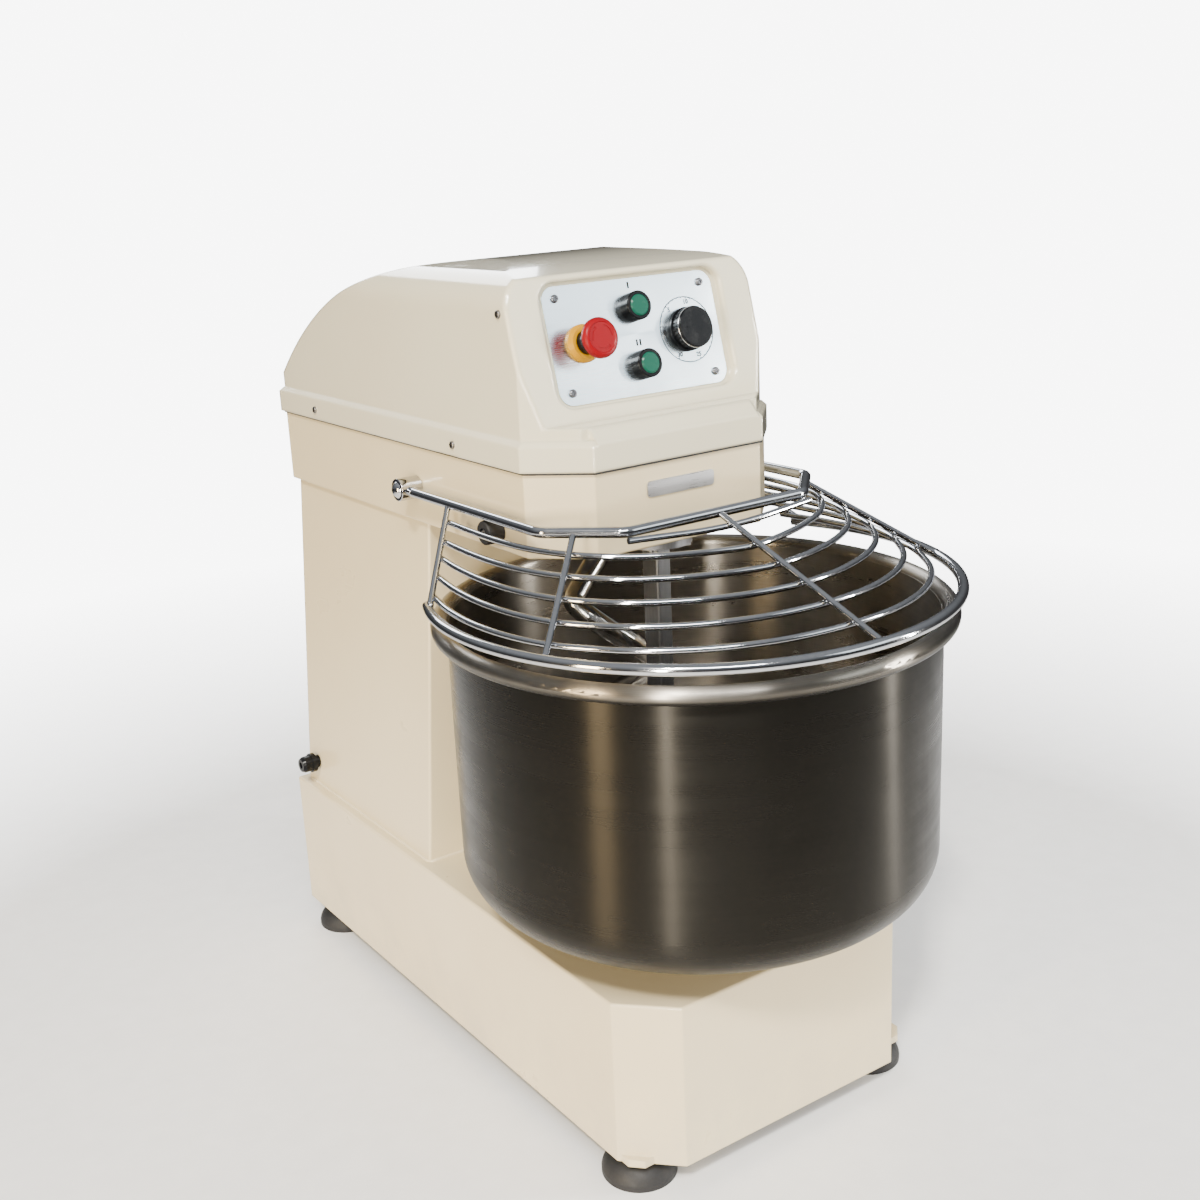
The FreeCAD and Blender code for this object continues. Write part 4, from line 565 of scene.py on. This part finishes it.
def make_column_seam():
    """Painted sealant where the column's front and sides stand on the base."""
    low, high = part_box("column_shell")
    corner, inset = 0.004, 0.008
    front, back = low.y + inset, high.y - 0.004
    outline = (
        (low.x, back),
        (low.x, front + corner),
        (low.x + corner, front),
        (high.x - corner, front),
        (high.x, front + corner),
        (high.x, back),
    )
    ends = [Vector((x, y, low.z + 0.0006)) for x, y in outline]
    path = []
    for a, b in zip(ends, ends[1:]):
        count = max(1, int((b - a).length / SEAM_STEP))
        path += [a.lerp(b, i / count) for i in range(count)]
    path.append(ends[-1])
    verts, faces = bead(path, SEAM_RADIUS, 0.12, 0.4)
    paint = painted(
        "seam_paint", (0.72, 0.62, 0.42), (0.67, 0.57, 0.38), gloss=(0.3, 0.45), peel=1.0, coat=0.1
    )
    add_mesh("column_seam", verts, faces, paint, "frame")


def make_cover_gasket():
    """Thin dark strip round the head, just under the cover's edge: painted shadow of the gap
    between cover and housing.
    """
    joint_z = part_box("head_cover")[0].z
    plan = bmesh.new()
    for vertex in NODES["head_housing"].data.vertices:
        if joint_z - 0.05 < vertex.co.z < joint_z + 0.001:
            plan.verts.new((vertex.co.x, vertex.co.y, 0.0))
    hull = bmesh.ops.convex_hull(plan, input=plan.verts)["geom"]
    rim = [v.co.copy() for v in hull if isinstance(v, bmesh.types.BMVert)]
    plan.free()
    middle = sum(rim, Vector((0.0, 0.0, 0.0))) / len(rim)
    rim.sort(key=lambda v: math.atan2(v.y - middle.y, v.x - middle.x))
    section = ((-0.0008, -0.0021), (0.0030, -0.0019), (0.0030, -0.0004), (-0.0008, -0.0002))
    verts = []
    for point in rim:
        outward = (point - middle).normalized()
        for shift, z in section:
            verts.append(point + shift * outward + (joint_z + z) * UP)
    faces = skin(len(rim), len(section), closed=True)
    # Black finish for the strip: painted shadow of the gap, not a real gasket.
    shadow_strip_finish = FINISHES["black_rubber"]
    add_mesh("cover_shadow_strip", verts, faces, shadow_strip_finish, "frame", smooth=False)


def meeting_points(first, second, reach, apart):
    """Centres of the places where two nodes' surfaces come within reach of each other."""
    near = KDTree(len(NODES[first].data.vertices))
    for vertex in NODES[first].data.vertices:
        near.insert(vertex.co, vertex.index)
    near.balance()
    groups = []
    for vertex in NODES[second].data.vertices:
        if near.find(vertex.co)[2] > reach:
            continue
        for group in groups:
            if (group[0] / group[1] - vertex.co).length < apart:
                group[0] += vertex.co
                group[1] += 1
                break
        else:
            groups.append([vertex.co.copy(), 1])
    return [total / count for total, count in groups]


def nugget(centre, radius, seed):
    """Small uneven weld blob."""
    rows, sides = 5, 9
    verts = [centre + radius * UP]
    for i in range(1, rows):
        polar = math.pi * i / rows
        for k in range(sides):
            turn = 2 * math.pi * k / sides
            size = radius * (1.0 + 0.12 * math.sin(3.1 * k + 1.7 * i + seed))
            level = math.sin(polar)
            way = Vector((level * math.cos(turn), level * math.sin(turn), math.cos(polar)))
            verts.append(centre + size * way)
    verts.append(centre - radius * UP)
    last = len(verts) - 1
    faces = [(0, 1 + k, 1 + (k + 1) % sides) for k in range(sides)]
    for i in range(rows - 2):
        for k in range(sides):
            a, b = 1 + i * sides + k, 1 + i * sides + (k + 1) % sides
            faces.append((a, b, b + sides, a + sides))
    faces += [(last, last - sides + (k + 1) % sides, last - sides + k) for k in range(sides)]
    return verts, faces


def make_guard_welds():
    """A weld wherever a rib of the guard meets a wire, the top rod or the ring."""
    spots = []
    for other_node in ("guard_arc_wires", "guard_top_rod", "guard_ring"):
        for spot in meeting_points("guard_ribs", other_node, 0.0016, 0.012):
            if all((spot - other).length > 0.008 for other in spots):
                spots.append(spot)
    verts, faces = joined([nugget(spot, WELD_RADIUS, 0.9 * i) for i, spot in enumerate(spots)])
    weld_steel = bright("weld_steel", (0.42, 0.42, 0.43), (0.16, 0.32), 1.0)
    add_mesh("guard_welds", verts, faces, weld_steel, "guard")


make_column_seam()
# Painted shadow strip under the cover's edge.
make_cover_gasket()
make_guard_welds()


# ---------------------------------------------------------------- floor, light and camera
def make_floor(radius, fade_from, fade_to):
    """Pale round floor whose edge fades into the background."""
    s = Surface("pale_floor")
    speckle = s.noise(30.0, 4.0, 0.6)
    pale, paler = (0.80, 0.795, 0.785), (0.84, 0.835, 0.825)
    s.color(s.blend(s.ramp(speckle, 0.0, 1.0, 0.3, 0.7), pale, paler))
    s.rough(s.ramp(speckle, 0.55, 0.7))
    s.link(s.ramp(s.around()[1], 1.0, 0.0, fade_from, fade_to), s.shader.inputs["Alpha"])
    mesh = bpy.data.meshes.new("floor")
    work = bmesh.new()
    bmesh.ops.create_circle(work, cap_ends=True, segments=96, radius=radius)
    work.to_mesh(mesh)
    work.free()
    mesh.materials.append(s.material)
    floor = bpy.data.objects.new("floor", mesh)
    bpy.context.scene.collection.objects.link(floor)


def add_light(name, kind, power, color, direction):
    """A light that shines along a direction; gives (light, holder)."""
    light = bpy.data.lights.new(name, kind)
    light.energy = power
    light.color = color
    holder = bpy.data.objects.new(name, light)
    holder.rotation_euler = Vector(direction).to_track_quat("-Z", "Y").to_euler()
    bpy.context.scene.collection.objects.link(holder)
    return light, holder


def softbox(name, place, target, size, power, color):
    light, holder = add_light(name, "AREA", power, color, Vector(target) - Vector(place))
    light.shape = "RECTANGLE"
    light.size, light.size_y = size
    holder.location = place


def sun(name, direction, power, spread, color):
    light, _ = add_light(name, "SUN", power, color, direction)
    light.angle = math.radians(spread)


BOWL_AIM = (0.0, -0.2, 0.4)  # strips aimed here show as bands on the bowl
make_floor(2.4, 0.9, 2.3)
sun("key_light", (0.69, 0.62, -1.05), 3.55, 6.0, (1.0, 0.955, 0.87))
softbox("panel_light", (1.8, -2.35, 2.1), (0.0, -0.2, 0.7), (1.9, 1.3), 19.0, (0.90, 0.97, 1.0))
softbox("warm_light", (-2.7, -0.75, 0.8), BOWL_AIM, (0.42, 1.5), 74.0, (1.0, 0.78, 0.48))
softbox("edge_light", (-0.9, -1.9, 2.5), (0.0, -0.2, 0.75), (1.5, 0.4), 70.0, (1.0, 1.0, 1.0))
softbox("front_strip", (-2.3, -2.1, 0.8), BOWL_AIM, (0.20, 1.5), 85.0, (1.0, 0.93, 0.82))
softbox("side_strip", (2.3, -1.95, 0.8), BOWL_AIM, (0.12, 1.5), 85.0, (1.0, 0.97, 0.92))
softbox("back_light", (0.6, 2.6, 2.2), (0.0, 0.0, 0.6), (2.2, 1.0), 60.0, (0.93, 0.96, 1.0))


def make_world(room_strength, paper_strength):
    """Dim room that lights the part, and white paper where the camera sees past it."""
    world = bpy.data.worlds.new("studio")
    bpy.context.scene.world = world
    world.use_nodes = True
    nodes, links = world.node_tree.nodes, world.node_tree.links
    nodes.clear()
    output = nodes.new("ShaderNodeOutputWorld")
    room = nodes.new("ShaderNodeBackground")
    paper = nodes.new("ShaderNodeBackground")
    either = nodes.new("ShaderNodeMixShader")
    seen = nodes.new("ShaderNodeLightPath")
    coord = nodes.new("ShaderNodeTexCoord")
    split = nodes.new("ShaderNodeSeparateXYZ")
    fade = nodes.new("ShaderNodeValToRGB")
    links.new(coord.outputs["Generated"], split.inputs[0])
    links.new(split.outputs[2], fade.inputs[0])
    low, high = fade.color_ramp.elements
    low.position, low.color = 0.05, (0.10, 0.10, 0.105, 1.0)
    high.position, high.color = 0.8, (0.75, 0.78, 0.82, 1.0)
    links.new(fade.outputs[0], room.inputs[0])
    room.inputs[1].default_value = room_strength
    paper.inputs[0].default_value = (1.0, 1.0, 1.0, 1.0)
    paper.inputs[1].default_value = paper_strength
    links.new(seen.outputs["Is Camera Ray"], either.inputs[0])
    links.new(room.outputs[0], either.inputs[1])
    links.new(paper.outputs[0], either.inputs[2])
    links.new(either.outputs[0], output.inputs[0])


def make_camera(place, azimuth, elevation, roll, focal, shift):
    """Camera at the photo's angle; the angles are in degrees."""
    azimuth, elevation, roll = map(math.radians, (azimuth, elevation, roll))
    level = math.cos(elevation)
    forward = Vector(
        (-math.sin(azimuth) * level, math.cos(azimuth) * level, -math.sin(elevation))
    )
    right = Vector((math.cos(azimuth), math.sin(azimuth), 0.0))
    up = right.cross(forward)
    camera_x = math.cos(roll) * right + math.sin(roll) * up
    camera_y = -math.sin(roll) * right + math.cos(roll) * up
    turn = Matrix((camera_x, camera_y, -forward)).transposed().to_4x4()
    lens = bpy.data.cameras.new("camera")
    lens.lens = focal
    lens.sensor_width = 36.0
    lens.shift_x, lens.shift_y = shift
    camera = bpy.data.objects.new("camera", lens)
    camera.matrix_world = Matrix.Translation(place) @ turn
    bpy.context.scene.collection.objects.link(camera)
    bpy.context.scene.camera = camera


make_world(0.62, 8.0)
make_camera((-0.903, -1.31225, 0.994), -33.05, 16.47, -3.17, 44.8, (0.0367, -0.0075))
